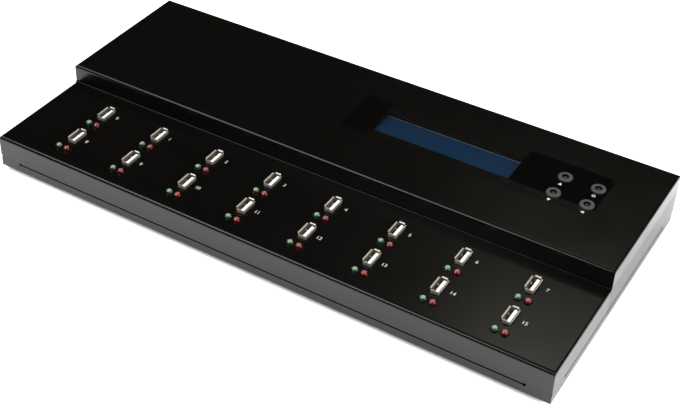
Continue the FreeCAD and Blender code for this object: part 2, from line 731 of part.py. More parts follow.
def display_screw_places():
    return corner_places(DISPLAY_X, DISPLAY_DEPTH, LCD_BOARD_LENGTH, LCD_BOARD_WIDTH)


def keypad_screw_places():
    return corner_places(BUTTON_X, BUTTON_DEPTH, KEYPAD_BOARD_LENGTH, KEYPAD_BOARD_WIDTH)


def port_board_middles():
    return [PORT_CENTRE_X + side * (PORT_BOARD_LENGTH + BOARD_GAP) / 2 for side in (-1, 1)]


def port_board_screw_places():
    depth = BOARD_FRONT + PORT_BOARD_WIDTH / 2
    return [place for middle in port_board_middles()
            for place in corner_places(middle, depth, PORT_BOARD_LENGTH, PORT_BOARD_WIDTH)]


def main_board_middle():
    return (MAIN_BOARD_LEFT + MAIN_BOARD_RIGHT) / 2, (MAIN_BOARD_FRONT + REAR_INNER_DEPTH) / 2


def main_board_screw_places():
    x, depth = main_board_middle()
    return corner_places(x, depth, MAIN_BOARD_RIGHT - MAIN_BOARD_LEFT,
                         REAR_INNER_DEPTH - MAIN_BOARD_FRONT)


def board(x, depth, length, width, under, screw_places):
    plate = rounded_plate(x, depth, length, width, 1.0, (under, under + BOARD_THICKNESS))
    return cut_all(plate, [post(hole_x, hole_depth, (under - SHEET, under + 2 * BOARD_THICKNESS),
                                BOARD_HOLE_RADIUS) for hole_x, hole_depth in screw_places])


def lcd_board():
    return board(DISPLAY_X, DISPLAY_DEPTH, LCD_BOARD_LENGTH, LCD_BOARD_WIDTH, LCD_BOARD_UNDER,
                 display_screw_places())


def keypad_board():
    return board(BUTTON_X, BUTTON_DEPTH, KEYPAD_BOARD_LENGTH, KEYPAD_BOARD_WIDTH, KEYPAD_UNDER,
                 keypad_screw_places())


def port_board(middle):
    places = [place for place in port_board_screw_places()
              if abs(place[0] - middle) < PORT_BOARD_LENGTH / 2]
    return board(middle, BOARD_FRONT + PORT_BOARD_WIDTH / 2, PORT_BOARD_LENGTH,
                 PORT_BOARD_WIDTH, BOARD_UNDER, places)


def main_board():
    x, depth = main_board_middle()
    return board(x, depth, MAIN_BOARD_RIGHT - MAIN_BOARD_LEFT,
                 REAR_INNER_DEPTH - MAIN_BOARD_FRONT, BOARD_UNDER, main_board_screw_places())


def deck_standoffs():
    """Posts welded under the high deck, tapped from below, that carry its two boards."""
    posts = []
    for places, foot in ((display_screw_places(), LCD_BOARD_TOP),
                         (keypad_screw_places(), KEYPAD_TOP)):
        for x, depth in places:
            pillar = post(x, depth, (foot, DECK_UNDER), DECK_STANDOFF_RADIUS)
            tapped = post(x, depth, (foot - SHEET, foot + SCREW_LENGTH), SCREW_HOLE_RADIUS)
            posts.append(pillar.cut(tapped))
    return Part.makeCompound(posts)


def board_standoffs():
    """Six-sided posts riveted to the base pan under the port boards and the main board."""
    posts = []
    for x, depth in port_board_screw_places() + main_board_screw_places():
        corners = [at(x + STANDOFF_RADIUS * math.cos(math.radians(60 * step)),
                      depth + STANDOFF_RADIUS * math.sin(math.radians(60 * step)), SHEET)
                   for step in range(6)]
        prism = Part.Face(Part.makePolygon(corners + corners[:1])).extrude(
            Vector(0, 0, BOARD_UNDER - SHEET))
        tapped = post(x, depth, (BOARD_UNDER - SCREW_LENGTH, BOARD_UNDER + SHEET),
                      SCREW_HOLE_RADIUS)
        posts.append(prism.cut(tapped))
    return Part.makeCompound(posts)


def screw(place, direction):
    """A pan-head cross-recess screw whose head seats at place and points along direction."""
    head = Part.makeCylinder(SCREW_HEAD_RADIUS, SCREW_HEAD_HEIGHT)
    head = rounded_edges(head, SCREW_HEAD_HEIGHT / 2,
                         lambda edge: edge.BoundBox.ZMin > SCREW_HEAD_HEIGHT - 1e-6)
    shank = Part.makeCylinder(SCREW_RADIUS, SCREW_LENGTH, Vector(0, 0, -SCREW_LENGTH))
    slot_width, slot_length, slot_depth = SCREW_RECESS
    floor = SCREW_HEAD_HEIGHT - slot_depth
    recess = [Part.makeBox(a, b, SCREW_HEAD_HEIGHT, Vector(-a / 2, -b / 2, floor))
              for a, b in ((slot_width, slot_length), (slot_length, slot_width))]
    body = cut_all(head.fuse(shank).removeSplitter(), recess)
    body.Placement = FreeCAD.Placement(place, FreeCAD.Rotation(Vector(0, 0, 1), direction))
    return body


def case_screws():
    """Screws under the base pan into the brackets, and at the back through the rear flange."""
    down, back = Vector(0, 0, -1), Vector(0, 1, 0)
    under = [screw(at(x, depth, 0), down) for x, depth in bracket_screws()]
    behind = [screw(at(x, CASE_DEPTH, rear_screw_height()), back) for x in REAR_SCREW_XS]
    return Part.makeCompound(under + behind)


def board_screws():
    up, down = Vector(0, 0, 1), Vector(0, 0, -1)
    on_base = [screw(at(x, depth, BOARD_TOP), up)
               for x, depth in port_board_screw_places() + main_board_screw_places()]
    on_deck = [screw(at(x, depth, LCD_BOARD_UNDER), down) for x, depth in display_screw_places()]
    on_deck += [screw(at(x, depth, KEYPAD_UNDER), down) for x, depth in keypad_screw_places()]
    return Part.makeCompound(on_base + on_deck)


def button(x, depth):
    """A round key: a dished cap, a skirt that keeps it in the deck, and a stem for its switch."""
    top = OVERLAY_TOP + BUTTON_PROUD
    cap = post(x, depth, (SKIRT_TOP - BUTTON_SKIRT_HEIGHT, top), BUTTON_RADIUS)
    top_z = FOOT_HEIGHT + top
    cap = rounded_edges(cap, BUTTON_EDGE, lambda edge: edge.BoundBox.ZMin > top_z - 1e-6)
    dish = post(x, depth, (top - BUTTON_DISH_DEPTH, top + SHEET), BUTTON_DISH_RADIUS)
    pip = post(x, depth, (top - BUTTON_DISH_DEPTH, top - BUTTON_DISH_DEPTH + BUTTON_PIP_HEIGHT),
               BUTTON_PIP_RADIUS)
    skirt = post(x, depth, (SKIRT_TOP - BUTTON_SKIRT_HEIGHT, SKIRT_TOP), BUTTON_SKIRT_RADIUS)
    stem = post(x, depth, (stem_foot(), SKIRT_TOP - BUTTON_SKIRT_HEIGHT / 2), STEM_RADIUS)
    return joined([cap.cut(dish), pip, skirt, stem])


def stem_foot():
    """Lower end of a button's stem, inside its switch and clear of the floor at full travel."""
    return KEYPAD_TOP + SWITCH_FLOOR + BUTTON_TRAVEL + SHEET_FIT


def key_switches():
    """Housings of the four tactile switches, each bored for the stem of its button."""
    housings = []
    for x, depth in button_places().values():
        box = rounded_plate(x, depth, SWITCH_SIDE, SWITCH_SIDE, 1.0,
                            (KEYPAD_TOP, KEYPAD_TOP + SWITCH_HEIGHT))
        bore = post(x, depth, (KEYPAD_TOP + SWITCH_FLOOR, KEYPAD_TOP + SWITCH_HEIGHT + SHEET),
                    STEM_RADIUS + STEM_FIT)
        housings.append(box.cut(bore))
    return Part.makeCompound(housings)


def controller_chip():
    return rounded_plate(CHIP_X, CHIP_DEPTH, CHIP_SIDE, CHIP_SIDE, 0.5,
                         (BOARD_TOP, BOARD_TOP + CHIP_HEIGHT))


def heatsink():
    """A finned aluminium block on the controller chip."""
    seat = BOARD_TOP + CHIP_HEIGHT
    plate = block(centred(CHIP_X, HEATSINK_SIDE), centred(CHIP_DEPTH, HEATSINK_SIDE),
                  (seat, seat + HEATSINK_BASE))
    step = (HEATSINK_SIDE - FIN_THICKNESS) / (HEATSINK_FINS - 1)
    first = CHIP_X - HEATSINK_SIDE / 2 + FIN_THICKNESS / 2
    fins = [block(centred(first + step * index, FIN_THICKNESS),
                  centred(CHIP_DEPTH, HEATSINK_SIDE), (seat, seat + HEATSINK_HEIGHT))
            for index in range(HEATSINK_FINS)]
    return joined([plate] + fins)


def memory_chips():
    """Two memory chips in front of the display's board, left of the controller."""
    x = CHIP_X - CHIP_SIDE / 2 - MEMORY_LENGTH
    return Part.makeCompound([
        rounded_plate(x, CHIP_DEPTH + side * MEMORY_WIDTH, MEMORY_LENGTH, MEMORY_WIDTH, 0.4,
                      (BOARD_TOP, BOARD_TOP + MEMORY_HEIGHT)) for side in (-1, 1)])


def between_columns():
    """Places midway between neighbouring sockets of one board, level with the gap of the rows."""
    depth = FRONT_ROW_DEPTH + ROW_PITCH / 2 - LED_SETBACK / 2
    first_x = port_places()[0][0]
    half = PORT_COLUMNS // 2
    return [(first_x + PORT_PITCH * (column + 0.5), depth)
            for column in range(PORT_COLUMNS - 1) if column != half - 1]


def hub_chips():
    """Hub controllers on the port boards, between the socket columns."""
    return Part.makeCompound([
        rounded_plate(x, depth, HUB_SIDE, HUB_SIDE, 0.4, (BOARD_TOP, BOARD_TOP + CHIP_HEIGHT))
        for x, depth in between_columns()])


def capacitors():
    """Can capacitors behind each hub chip and beside the power socket."""
    places = [(x, depth + HUB_SIDE + CAPACITOR_RADIUS) for x, depth in between_columns()]
    places += [(JACK_X - JACK_WIDTH - side * 4 * CAPACITOR_RADIUS,
                REAR_INNER_DEPTH - JACK_LENGTH / 2) for side in (0, 1)]
    cans = []
    for x, depth in places:
        can = post(x, depth, (BOARD_TOP, BOARD_TOP + CAPACITOR_HEIGHT), CAPACITOR_RADIUS)
        top_z = FOOT_HEIGHT + BOARD_TOP + CAPACITOR_HEIGHT
        cans.append(rounded_edges(can, CAPACITOR_RADIUS / 5,
                                  lambda edge: edge.BoundBox.ZMin > top_z - 1e-6))
    return Part.makeCompound(cans)


def inductors():
    """Two shielded coils of the power supply, in front of the power socket."""
    depth = REAR_INNER_DEPTH - JACK_LENGTH - 2 * INDUCTOR_SIDE
    return Part.makeCompound([
        rounded_plate(JACK_X - side * 2 * INDUCTOR_SIDE, depth, INDUCTOR_SIDE, INDUCTOR_SIDE,
                      INDUCTOR_SIDE / 5, (BOARD_TOP, BOARD_TOP + INDUCTOR_HEIGHT))
        for side in (0, 1)])


def beeper():
    x = CHIP_X + HEATSINK_SIDE + BEEPER_RADIUS
    can = post(x, CHIP_DEPTH, (BOARD_TOP, BOARD_TOP + BEEPER_HEIGHT), BEEPER_RADIUS)
    hole = post(x, CHIP_DEPTH, (BOARD_TOP + BEEPER_HEIGHT / 2, BOARD_TOP + BEEPER_HEIGHT + 1),
                BEEPER_HOLE_RADIUS)
    return can.cut(hole)


def display_header_depth():
    """Depth of the header under the front edge of the display's board."""
    return DISPLAY_DEPTH - LCD_BOARD_WIDTH / 2 + HEADER_WIDTH


def main_header_depth():
    return MAIN_BOARD_FRONT + HEADER_WIDTH


def keypad_header_x():
    return BUTTON_X


def main_header_x():
    """Middle of the keypad cable's header, at the right end of the main board."""
    return MAIN_BOARD_RIGHT - BOARD_HOLE_INSET - HEADER_WIDTH


def power_header():
    """Ends of the header that takes the wires of the power switch."""
    left = MAIN_BOARD_LEFT + HEADER_WIDTH
    depth = REAR_INNER_DEPTH - SWITCH_BODY_DEPTH - TERMINAL_LENGTH - POWER_HEADER_LENGTH
    return left, depth


def ribbon_headers():
    """Plug headers at both ends of every cable inside the case."""
    standing = (BOARD_TOP, BOARD_TOP + HEADER_HEIGHT)
    port_header_depth = PORT_BOARD_BACK - HEADER_WIDTH
    headers = [block(centred(DISPLAY_X, RIBBON_WIDTH),
                     centred(main_header_depth() + HEADER_WIDTH, HEADER_WIDTH), standing),
               block(centred(DISPLAY_X, RIBBON_WIDTH),
                     centred(display_header_depth(), HEADER_WIDTH),
                     (LCD_BOARD_UNDER - HEADER_HEIGHT / 2, LCD_BOARD_UNDER)),
               block(centred(main_header_x(), HEADER_WIDTH),
                     centred(BUTTON_DEPTH, RIBBON_WIDTH / 2), standing),
               block(centred(keypad_header_x(), HEADER_WIDTH),
                     centred(BUTTON_DEPTH, RIBBON_WIDTH / 2),
                     (KEYPAD_UNDER - HEADER_HEIGHT / 2, KEYPAD_UNDER))]
    for x in port_ribbon_xs():
        headers.append(block(centred(x, RIBBON_WIDTH),
                             centred(port_header_depth, HEADER_WIDTH), standing))
        headers.append(block(centred(x, RIBBON_WIDTH),
                             centred(main_header_depth(), HEADER_WIDTH), standing))
    left, depth = power_header()
    headers.append(block((left, left + HEADER_WIDTH), centred(depth, POWER_HEADER_LENGTH),
                         standing))
    return Part.makeCompound(headers)


def port_ribbon_xs():
    """Middles of the two cables that run from the main board to the port boards."""
    return [PORT_CENTRE_X + side * RIBBON_WIDTH * 0.75 for side in (-1, 1)]


def bent_ribbon(start, corner, end, across):
    """A flat cable from start to end with one bend at corner, as wide as across."""
    along = (corner - start).normalize()
    onward = (end - corner).normalize()
    half = RIBBON_THICKNESS / 2
    inner = [(start + onward * half, 0), (corner - along * half + onward * half, RIBBON_BEND),
             (end - along * half, 0)]
    outer = [(end + along * half, 0),
             (corner + along * half - onward * half, RIBBON_BEND + RIBBON_THICKNESS),
             (start - onward * half, 0)]
    strip = rounded_face(inner + outer)
    strip.translate(across * -0.5)
    return strip.extrude(across)


def ribbon_cables():
    """Flat cables: main board to display, to keypad, and to each port board."""
    middle = HEADER_MIDDLE
    header_back = main_header_depth() + 1.5 * HEADER_WIDTH
    to_display = bent_ribbon(at(DISPLAY_X, header_back, middle),
                             at(DISPLAY_X, display_header_depth(), middle),
                             at(DISPLAY_X, display_header_depth(),
                                LCD_BOARD_UNDER - HEADER_HEIGHT / 2),
                             Vector(RIBBON_WIDTH, 0, 0))
    header_right = main_header_x() + HEADER_WIDTH / 2
    to_keypad = bent_ribbon(at(header_right, BUTTON_DEPTH, middle),
                            at(keypad_header_x(), BUTTON_DEPTH, middle),
                            at(keypad_header_x(), BUTTON_DEPTH,
                               KEYPAD_UNDER - HEADER_HEIGHT / 2),
                            Vector(0, RIBBON_WIDTH / 2, 0))
    to_ports = [block(centred(x, RIBBON_WIDTH),
                      (PORT_BOARD_BACK - HEADER_WIDTH / 2, main_header_depth() - HEADER_WIDTH / 2),
                      centred(middle, RIBBON_THICKNESS)) for x in port_ribbon_xs()]
    return Part.makeCompound([to_display, to_keypad] + to_ports)


def dc_jack():
    """A moulded power socket at the back edge of the main board, its mouth at the rear wall."""
    body = block(centred(JACK_X, JACK_WIDTH), (REAR_INNER_DEPTH - JACK_LENGTH, REAR_INNER_DEPTH),
                 (BOARD_TOP, BOARD_TOP + JACK_HEIGHT))
    bore = rod_back(JACK_X, jack_height(),
                    (REAR_INNER_DEPTH - JACK_BORE_DEPTH, REAR_INNER_DEPTH + SHEET),
                    JACK_BORE_RADIUS)
    return body.cut(bore)


def dc_jack_pin():
    pin = rod_back(JACK_X, jack_height(),
                   (REAR_INNER_DEPTH - JACK_BORE_DEPTH, REAR_INNER_DEPTH - JACK_PIN_RADIUS),
                   JACK_PIN_RADIUS)
    tip_y = FRONT_Y + REAR_INNER_DEPTH - JACK_PIN_RADIUS
    return rounded_edges(pin, JACK_PIN_RADIUS / 2,
                         lambda edge: edge.BoundBox.YMin > tip_y - 1e-6)


def switch_housing():
    """The power switch's moulding: a bezel outside the rear wall and an open box behind it."""
    outside = REAR_WALL_DEPTH + SWITCH_BEZEL_THICKNESS
    bezel = rounded_panel(SWITCH_X, SWITCH_AXIS_HEIGHT, SWITCH_BEZEL_LENGTH, SWITCH_BEZEL_WIDTH,
                          1.0, (REAR_WALL_DEPTH, outside))
    body = rounded_panel(SWITCH_X, SWITCH_AXIS_HEIGHT, SWITCH_BODY_LENGTH, SWITCH_BODY_WIDTH, 0,
                         (REAR_WALL_DEPTH - SWITCH_BODY_DEPTH, REAR_WALL_DEPTH))
    tilt = math.radians(ROCKER_TILT)
    swing = ROCKER_RADIUS * math.sin(tilt) + ROCKER_HUB_DEPTH * math.cos(tilt)
    well = block(centred(SWITCH_X, 2 * (ROCKER_RADIUS + ROCKER_GAP)),
                 (ROCKER_PIVOT - swing - ROCKER_GAP, outside + SHEET),
                 centred(SWITCH_AXIS_HEIGHT, ROCKER_WIDTH + 2 * ROCKER_GAP))
    reach = ROCKER_WIDTH / 2 + AXLE_REACH + ROCKER_GAP
    axle_hole = post(SWITCH_X, ROCKER_PIVOT, centred(SWITCH_AXIS_HEIGHT, 2 * reach),
                     AXLE_RADIUS + AXLE_FIT)
    return cut_all(bezel.fuse(body).removeSplitter(), [well, axle_hole])


def switch_rocker():
    """The rocker at rest: tilted to its off side, on two short axle stubs."""
    pivot = at(SWITCH_X, ROCKER_PIVOT, SWITCH_AXIS_HEIGHT)
    width = Vector(0, 0, ROCKER_WIDTH)
    end = math.radians(ROCKER_END_ANGLE)
    reach = Vector(ROCKER_RADIUS * math.cos(end), ROCKER_RADIUS * math.sin(end), 0)
    crown = [Vector(-2 * ROCKER_RADIUS, -ROCKER_HUB_DEPTH, 0),
             Vector(2 * ROCKER_RADIUS, -ROCKER_HUB_DEPTH, 0),
             Vector(2 * ROCKER_RADIUS, reach.y, 0), reach,
             Vector(0, ROCKER_VALLEY_RISE, 0), Vector(-reach.x, reach.y, 0),
             Vector(-2 * ROCKER_RADIUS, reach.y, 0)]
    profile = Part.Face(Part.makePolygon(crown + crown[:1]))
    slab = profile.extrude(width)
    drum = Part.makeCylinder(ROCKER_RADIUS, ROCKER_WIDTH)
    paddle = slab.common(drum)
    paddle.translate(width * -0.5)
    stub = ROCKER_WIDTH / 2 + AXLE_REACH
    axle = Part.makeCylinder(AXLE_RADIUS, 2 * stub, Vector(0, 0, -stub))
    rocker = paddle.fuse(axle).removeSplitter()
    rocker.rotate(Vector(0, 0, 0), Vector(0, 0, 1), ROCKER_TILT)
    rocker.translate(pivot)
    return rocker


def switch_terminals():
    """Two blades at the back of the power switch."""
    back = REAR_WALL_DEPTH - SWITCH_BODY_DEPTH
    return Part.makeCompound([
        block(centred(SWITCH_X + side * TERMINAL_SPACING / 2, TERMINAL_THICKNESS),
              (back - TERMINAL_LENGTH, back), centred(SWITCH_AXIS_HEIGHT, TERMINAL_WIDTH))
        for side in (-1, 1)])


def power_wires():
    """Two round wires from the switch blades to the header on the main board."""
    start_depth = REAR_WALL_DEPTH - SWITCH_BODY_DEPTH - TERMINAL_LENGTH
    left, header_depth = power_header()
    height = max(BOARD_TOP + 2 * WIRE_RADIUS, SWITCH_AXIS_HEIGHT)
    wires = []
    for side in (-1, 1):
        x = SWITCH_X + side * TERMINAL_SPACING / 2
        depth = header_depth + side * POWER_HEADER_LENGTH / 4
        bend = min(WIRE_BEND, (start_depth - depth) / 2)
        start, corner, end = at(x, start_depth, height), at(x, depth, height), \
            at(left, depth, height)
        entry = corner + Vector(0, bend, 0)
        leave = corner + Vector(bend, 0, 0)
        middle = corner + Vector(bend, bend, 0) * (1 - math.sqrt(0.5))
        path = Part.Wire([Part.makeLine(start, entry), Part.Arc(entry, middle, leave).toShape(),
                          Part.makeLine(leave, end)])
        ring = Part.Wire([Part.makeCircle(WIRE_RADIUS, start, Vector(0, 1, 0))])
        wires.append(path.makePipeShell([ring], True, False))
    return Part.makeCompound(wires)


def rubber_feet():
    """Four tapered rubber feet stuck under the base pan, dished so that they grip."""
    feet = []
    for side in (-1, 1):
        for depth in (FOOT_INSET, REAR_WALL_DEPTH - FOOT_INSET):
            x = side * (HALF_LENGTH - FOOT_INSET)
            cone = Part.makeCone(FOOT_RADIUS - FOOT_TAPER, FOOT_RADIUS, FOOT_HEIGHT,
                                 at(x, depth, -FOOT_HEIGHT))
            dish = post(x, depth, (-FOOT_HEIGHT - SHEET, -FOOT_HEIGHT + FOOT_DISH_DEPTH),
                        FOOT_DISH_RADIUS)
            feet.append(cone.cut(dish))
    return Part.makeCompound(feet)


def all_nodes():
    nodes = {
        "top_cover": top_cover(),
        "base_pan": base_pan(),
        "cover_brackets": cover_brackets(),
        "rubber_feet": rubber_feet(),
        "case_screws": case_screws(),
        "board_standoffs": board_standoffs(),
        "board_screws": board_screws(),
        "main_board": main_board(),
        "controller_chip": controller_chip(),
        "heatsink": heatsink(),
        "memory_chips": memory_chips(),
        "inductors": inductors(),
        "beeper": beeper(),
        "capacitors": capacitors(),
        "hub_chips": hub_chips(),
        "usb_insulators": usb_insulators(),
        "usb_contacts": usb_contacts(),
        "green_leds": leds(-1),
        "red_leds": leds(1),
        "led_spacers": led_spacers(),
        "display_overlay": display_overlay(),
        "display_window": display_window(),
        "display_gasket": display_gasket(),
        "lcd_glass": lcd_glass(),
        "lcd_bezel": lcd_bezel(),
        "lcd_backlight": lcd_backlight(),
        "lcd_board": lcd_board(),
        "keypad_board": keypad_board(),
        "deck_standoffs": deck_standoffs(),
        "key_switches": key_switches(),
        "ribbon_headers": ribbon_headers(),
        "ribbon_cables": ribbon_cables(),
        "dc_jack": dc_jack(),
        "dc_jack_pin": dc_jack_pin(),
        "switch_housing": switch_housing(),
        "switch_rocker": switch_rocker(),
        "switch_terminals": switch_terminals(),
        "power_wires": power_wires(),
    }
    for name, middle in zip(("port_board_left", "port_board_right"), port_board_middles()):
        nodes[name] = port_board(middle)
    for number, (x, depth) in enumerate(port_places(), start=1):
        nodes["usb_shell_%02d" % number] = usb_shell(x, depth)
    for name, (x, depth) in button_places().items():
        nodes[name] = button(x, depth)
    return nodes


os.makedirs("parts", exist_ok=True)
for node_name, node_shape in all_nodes().items():
    node_shape.exportStep(os.path.join("parts", node_name + ".step"))
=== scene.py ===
import math

import bmesh
import bpy
from mathutils import Matrix, Vector


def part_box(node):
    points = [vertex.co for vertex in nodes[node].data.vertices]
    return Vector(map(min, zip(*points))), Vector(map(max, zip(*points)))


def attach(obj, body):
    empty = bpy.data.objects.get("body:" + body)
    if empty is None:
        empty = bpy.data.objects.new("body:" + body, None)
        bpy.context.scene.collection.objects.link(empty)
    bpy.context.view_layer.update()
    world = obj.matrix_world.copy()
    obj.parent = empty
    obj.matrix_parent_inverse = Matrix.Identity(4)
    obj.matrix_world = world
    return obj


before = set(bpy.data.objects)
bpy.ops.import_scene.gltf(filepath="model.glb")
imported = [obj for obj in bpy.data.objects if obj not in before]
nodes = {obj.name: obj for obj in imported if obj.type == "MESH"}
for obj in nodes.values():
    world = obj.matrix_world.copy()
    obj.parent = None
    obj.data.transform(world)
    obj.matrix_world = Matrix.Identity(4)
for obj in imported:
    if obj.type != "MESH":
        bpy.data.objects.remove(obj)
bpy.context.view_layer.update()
MM = 0.001
scene = bpy.context.scene

# The studio. A plain pale floor, evenly lit from all round, with one long soft lamp above the box,
# one low at its right-hand end and one behind it. The room is dark only in reflections, as with
# black cloth hung above a glossy black product.
pan_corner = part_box("base_pan")[0]
CASE_FRONT = pan_corner.y
CASE_BOTTOM = pan_corner.z


def on_case(x, depth, height):
    """A place in mm, counted from the front face and the underside of the case."""
    return Vector((x * MM, CASE_FRONT + depth * MM, CASE_BOTTOM + height * MM))


FLOOR_LEFT, FLOOR_RIGHT, FLOOR_FRONT, FLOOR_BACK = -1.2, 0.8, CASE_FRONT - 0.2, 1.2
floor_mesh = bpy.data.meshes.new("studio_floor")
floor_mesh.from_pydata([(FLOOR_LEFT, FLOOR_FRONT, 0), (FLOOR_RIGHT, FLOOR_FRONT, 0),
                        (FLOOR_RIGHT, FLOOR_BACK, 0), (FLOOR_LEFT, FLOOR_BACK, 0)],
                       [], [(0, 1, 2, 3)])
floor = bpy.data.objects.new("studio_floor", floor_mesh)
scene.collection.objects.link(floor)
floor_paint = bpy.data.materials.new("pale_floor")
floor_paint.use_nodes = True
floor_shader = floor_paint.node_tree.nodes["Principled BSDF"]
floor_shader.inputs["Base Color"].default_value = (0.95, 0.95, 0.95, 1)
floor_shader.inputs["Roughness"].default_value = 0.8
floor_shader.inputs["Specular IOR Level"].default_value = 0.1
floor_mesh.materials.append(floor_paint)

room = bpy.data.worlds.new("studio_room")
scene.world = room
room.use_nodes = True
room_nodes = room.node_tree.nodes
room_links = room.node_tree.links
room_light = room_nodes["Background"]
room_light.inputs["Color"].default_value = (1.0, 1.0, 1.0, 1)
room_light.inputs["Strength"].default_value = 1.75
room_dark = room_nodes.new("ShaderNodeBackground")
room_dark.inputs["Color"].default_value = (1.0, 0.87, 0.75, 1)
room_dark.inputs["Strength"].default_value = 0.042
room_path = room_nodes.new("ShaderNodeLightPath")
room_mix = room_nodes.new("ShaderNodeMixShader")
room_links.new(room_path.outputs["Is Glossy Ray"], room_mix.inputs["Fac"])
room_links.new(room_light.outputs["Background"], room_mix.inputs[1])
room_links.new(room_dark.outputs["Background"], room_mix.inputs[2])
room_links.new(room_mix.outputs["Shader"], room_nodes["World Output"].inputs["Surface"])


def soft_lamp(name, place, aim, size, power, colour=(1.0, 1.0, 1.0), mirrored=True):
    """A rectangular soft lamp at place, facing aim; glossy surfaces show it if mirrored."""
    data = bpy.data.lights.new(name, "AREA")
    data.shape = "RECTANGLE"
    data.size, data.size_y = size
    data.energy = power
    data.color = colour
    lamp = bpy.data.objects.new(name, data)
    scene.collection.objects.link(lamp)
    lamp.location = place
    lamp.rotation_mode = "QUATERNION"
    lamp.rotation_quaternion = (Vector(aim) - Vector(place)).to_track_quat("-Z", "Y")
    lamp.visible_glossy = mirrored


soft_lamp("lamp_front", place=(-0.61, -0.69, 1.18), aim=(0.0, 0.0, 0.0), size=(1.2, 0.5), power=9.5)
soft_lamp("lamp_right", place=(1.15, 0.05, 0.50), aim=(0.20, -0.05, 0.0), size=(0.8, 0.5),
          power=18.0, mirrored=False)
soft_lamp("lamp_back", place=(0.10, 0.67, 1.03), aim=(0.1, 0.0, 0.0), size=(0.6, 0.38),
          power=1.3, colour=(1.0, 1.0, 0.87))

CAMERA_TURN, CAMERA_RISE, CAMERA_LEAN = map(math.radians, (32.56, 37.41, 0.324))
CAMERA_REACH = 0.8816
CAMERA_AIM = on_case(-20.6, 78.4, 20.0)
camera_data = bpy.data.cameras.new("studio_camera")
camera_data.sensor_width = 36.0
camera_data.lens = 70.015
camera_data.shift_x = 0.0766
camera_data.shift_y = -0.0437
camera_data.clip_start, camera_data.clip_end = 0.02, 50.0
camera = bpy.data.objects.new("studio_camera", camera_data)
scene.collection.objects.link(camera)
camera_back = Vector((math.sin(CAMERA_TURN) * math.cos(CAMERA_RISE),
                      -math.cos(CAMERA_TURN) * math.cos(CAMERA_RISE), math.sin(CAMERA_RISE)))
level_right = Vector((0, 0, 1)).cross(camera_back).normalized()
level_up = camera_back.cross(level_right)
camera_right = level_right * math.cos(CAMERA_LEAN) + level_up * math.sin(CAMERA_LEAN)
camera_up = level_up * math.cos(CAMERA_LEAN) - level_right * math.sin(CAMERA_LEAN)
camera.matrix_world = (Matrix.Translation(CAMERA_AIM + camera_back * CAMERA_REACH)
                       @ Matrix((camera_right, camera_up, camera_back)).transposed().to_4x4())
scene.camera = camera
scene.view_settings.view_transform = "Standard"
scene.view_settings.look = "None"

# The case: a folded cover over a folded pan, both of 1 mm sheet steel, sprayed semi-gloss black.
# The paint has a fine orange peel and is rubbed thin along its sharpest edges. In the inside corner
# at the riser's foot, where the spray swirls, it is thin and dull.
RISER_DEPTH = 82.3
PORT_DECK_HEIGHT = 24.5
DULL_REACH = 1.3 * MM
DULL_FADE = 0.3 * MM


def new_finish(name, colour, roughness, plain=None):
    """A material whose even values are set on the shader's own sockets."""
    material = bpy.data.materials.new(name)
    material.use_nodes = True
    shader = material.node_tree.nodes["Principled BSDF"]
    shader.inputs["Base Color"].default_value = (*colour, 1)
    shader.inputs["Roughness"].default_value = roughness
    for socket, value in (plain or {}).items():
        shader.inputs[socket].default_value = value
    return material


def shader_of(material):
    """The one shader of a material."""
    return material.node_tree.nodes["Principled BSDF"]


def mottle(material, size, detail=3.0, stretch=(1, 1, 1)):
    """Noise whose patches are about size across, in metres, in the piece's own place."""
    tree = material.node_tree
    place = tree.nodes.new("ShaderNodeTexCoord")
    mapping = tree.nodes.new("ShaderNodeMapping")
    mapping.inputs["Scale"].default_value = stretch
    noise = tree.nodes.new("ShaderNodeTexNoise")
    noise.inputs["Scale"].default_value = 1.0 / size
    noise.inputs["Detail"].default_value = detail
    tree.links.new(place.outputs["Object"], mapping.inputs["Vector"])
    tree.links.new(mapping.outputs["Vector"], noise.inputs["Vector"])
    return noise.outputs["Fac"]


def spread(material, pattern, low, high, clip=(0.3, 0.7)):
    """Turns a pattern into a value between low and high."""
    tree = material.node_tree
    ramp = tree.nodes.new("ShaderNodeMapRange")
    ramp.inputs["From Min"].default_value, ramp.inputs["From Max"].default_value = clip
    ramp.inputs["To Min"].default_value, ramp.inputs["To Max"].default_value = low, high
    tree.links.new(pattern, ramp.inputs["Value"])
    return ramp.outputs["Result"]


def clouds(material, size, detail):
    """Soft patches about size across, in metres, as a value from 0 to 1."""
    return spread(material, mottle(material, size, detail), 0.0, 1.0)


def combine(material, kind, first, second):
    """The larger, the product or another combination of two values."""
    node = material.node_tree.nodes.new("ShaderNodeMath")
    node.operation = kind
    material.node_tree.links.new(first, node.inputs[0])
    material.node_tree.links.new(second, node.inputs[1])
    return node.outputs["Value"]


def vary_gloss(material, pattern, low, high):
    """Lets a pattern move the roughness between two values."""
    material.node_tree.links.new(spread(material, pattern, low, high),
                                 shader_of(material).inputs["Roughness"])


def blend_colours(material, pattern, first, second):
    """A colour between two others, by a pattern; either may be a colour or a socket."""
    tree = material.node_tree
    mix = tree.nodes.new("ShaderNodeMix")
    mix.data_type = "RGBA"
    tree.links.new(pattern, mix.inputs["Factor"])
    for socket, value in ((mix.inputs[6], first), (mix.inputs[7], second)):
        if isinstance(value, tuple):
            socket.default_value = (*value, 1)
        else:
            tree.links.new(value, socket)
    return mix.outputs[2]


def vary_colour(material, pattern, first, second):
    """Lets a pattern move the colour between two others."""
    material.node_tree.links.new(blend_colours(material, pattern, first, second),
                                 shader_of(material).inputs["Base Color"])


